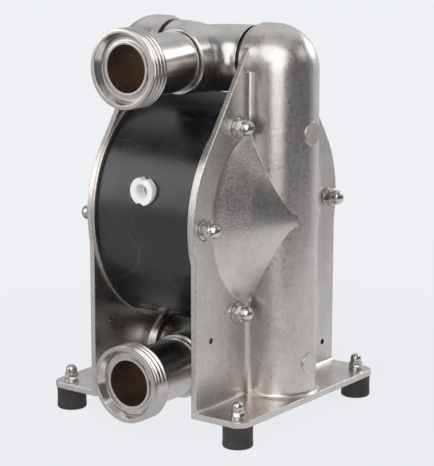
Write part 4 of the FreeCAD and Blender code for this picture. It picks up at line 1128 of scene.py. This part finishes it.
@dataclass
class Studio:
    """The camera, the soft lights, the pale floor and the pale background."""

    camera_place: Point = (0.8996, -1.2041, 0.4696)
    target: Point = (0.03126, -0.03968, 0.15828)
    lens: float = 140.32
    sensor: float = 36.0
    roll: float = math.radians(0.07)
    fill: float = 0.45
    lights: tuple[Softbox, ...] = (
        Softbox("front_light", (0.3, -0.93, 0.98), (1.6, 0.9), 7.2, (1.0, 0.99, 0.98)),
        Softbox("low_front_light", (0.48, -1.04, 0.31), (0.75, 0.6), 2.3, (1.0, 0.99, 0.98)),
        Softbox("left_light", (-0.86, -0.8, 0.6), (0.65, 0.8), 2.4, (1.0, 0.99, 0.975)),
        Softbox("back_light", (0.33, 1.08, 0.7), (0.7, 0.4), 2.2, (0.99, 0.995, 1.0)),
        Softbox("side_light", (1.1, 0.5, 1.05), (0.7, 0.5), 1.0),
    )
    # Where metal sees a lighter background: direction, start, full, and strength at each.
    zones: tuple[tuple, ...] = (
        ((-0.09, 0.996, 0.0), 0.5, 0.95, 0.16, 0.8),
        ((0.0, 0.0, 1.0), 0.7, 0.93, 0.16, 0.6),
        ((-0.35, 0.45, 0.82), 0.65, 0.9, 0.16, 0.85),
        ((-0.8, -0.58, -0.12), 0.6, 0.9, 0.16, 0.68),
    )
    floor_radius: float = 1.2
    floor_seen: Span = (0.2, 0.7)
    floor_lit: Span = (0.34, 0.6)
    lit_middle: Span = (0.33, 0.15)

    def set_camera(self) -> None:
        """Stands the camera where the photograph was taken from."""
        data = bpy.data.cameras.new("camera")
        data.lens, data.sensor_width, data.sensor_fit = self.lens, self.sensor, "AUTO"
        data.clip_start, data.clip_end = 0.05, 50.0
        camera = bpy.data.objects.new("camera", data)
        bpy.context.scene.collection.objects.link(camera)
        camera.matrix_world = looking(self.camera_place, self.target, self.roll)
        bpy.context.scene.camera = camera

    def set_world(self) -> None:
        """Paints a pale background, which only metal sees as darker outside the zones."""
        world = bpy.data.worlds.new("studio")
        bpy.context.scene.world = world
        g = Graph(world, "Generated")

        shade = 0.0
        for direction, *levels in self.zones:
            dot = g.get("VectorMath", "Value", {0: g.place, 1: direction},
                        operation="DOT_PRODUCT")
            shade = g.calc("MAXIMUM", shade, g.span(dot, *levels, smooth=True))
        fill, mirrored, seen = (
            g.get("Background", "Background", {"Color": PALE_GREY, "Strength": strength})
            for strength in (self.fill, shade, 1.0))
        rays = g.add("LightPath", {}).outputs
        shown = g.blend(rays["Is Camera Ray"], g.blend(rays["Is Glossy Ray"], fill, mirrored), seen)
        g.add("OutputWorld", {"Surface": shown})

    def set_floor(self) -> None:
        """Lays a pale round floor that fades into the background away from the pump."""
        floor = primitive("floor", bpy.ops.mesh.primitive_circle_add, vertices=96,
                          radius=self.floor_radius, fill_type="NGON")
        floor.location.z = -0.2 * MM
        g = Graph(bpy.data.materials.new("pale_floor"))
        x, y, _ = g.axes()
        rays = g.add("LightPath", {}).outputs
        mirrored = rays["Is Glossy Ray"]
        white = g.mix(g.noise(400, 2), (0.8, 0.805, 0.81), (0.84, 0.845, 0.85))
        matt = g.get("BsdfDiffuse", "BSDF", {"Color": white})
        glow = g.get("Emission", "Emission", {"Color": PALE_GREY})
        direct = g.plus(g.times(mirrored, 0.7), rays["Is Camera Ray"])
        direct = g.get("Math", "Value", {0: direct, 1: rays["Is Transmission Ray"]},
                       operation="ADD", use_clamp=True)
        lit = g.length(g.minus(x, self.lit_middle[0]), g.minus(y, self.lit_middle[1]))
        near = g.plus(
            g.times(g.minus(1.0, mirrored), g.fall(g.length(x, y), *self.floor_seen, smooth=True)),
            g.times(mirrored, g.fall(lit, *self.floor_lit, smooth=True)))
        clear = g.get("BsdfTransparent", "BSDF", {})
        shown = g.blend(near, clear, g.blend(g.times(direct, 0.92), matt, glow))
        g.add("OutputMaterial", {"Surface": shown})
        floor.data.materials.append(g.owner)
        floor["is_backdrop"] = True

    def set_up(self) -> None:
        """Sets the view, the lights, the world and the floor."""
        bpy.context.scene.view_settings.view_transform = "Standard"
        for light in self.lights:
            light.hang()
        self.set_world()
        self.set_floor()


def corners(box: Iterable[Vector]) -> list[list[float]]:
    """A box's two corners as plain lists."""
    return [list(corner) for corner in box]


def main() -> None:
    """Builds the scene around the frame, sub-assembly by sub-assembly."""
    logging.basicConfig(level=logging.INFO, format="%(name)s: %(message)s")
    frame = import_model()
    cad_box = corners(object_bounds())
    studio = Studio()
    studio.set_camera()
    studio.set_up()
    for part in (KeptParts(frame), TieRodFasteners(frame), Feet(frame), Port(frame),
                 Port(frame, name="inlet", height=INLET_HEIGHT), AirFittings(frame)):
        part.make()
    {"cad": cad_box, "visual": corners(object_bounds())}


if __name__ == "__main__":
    main()
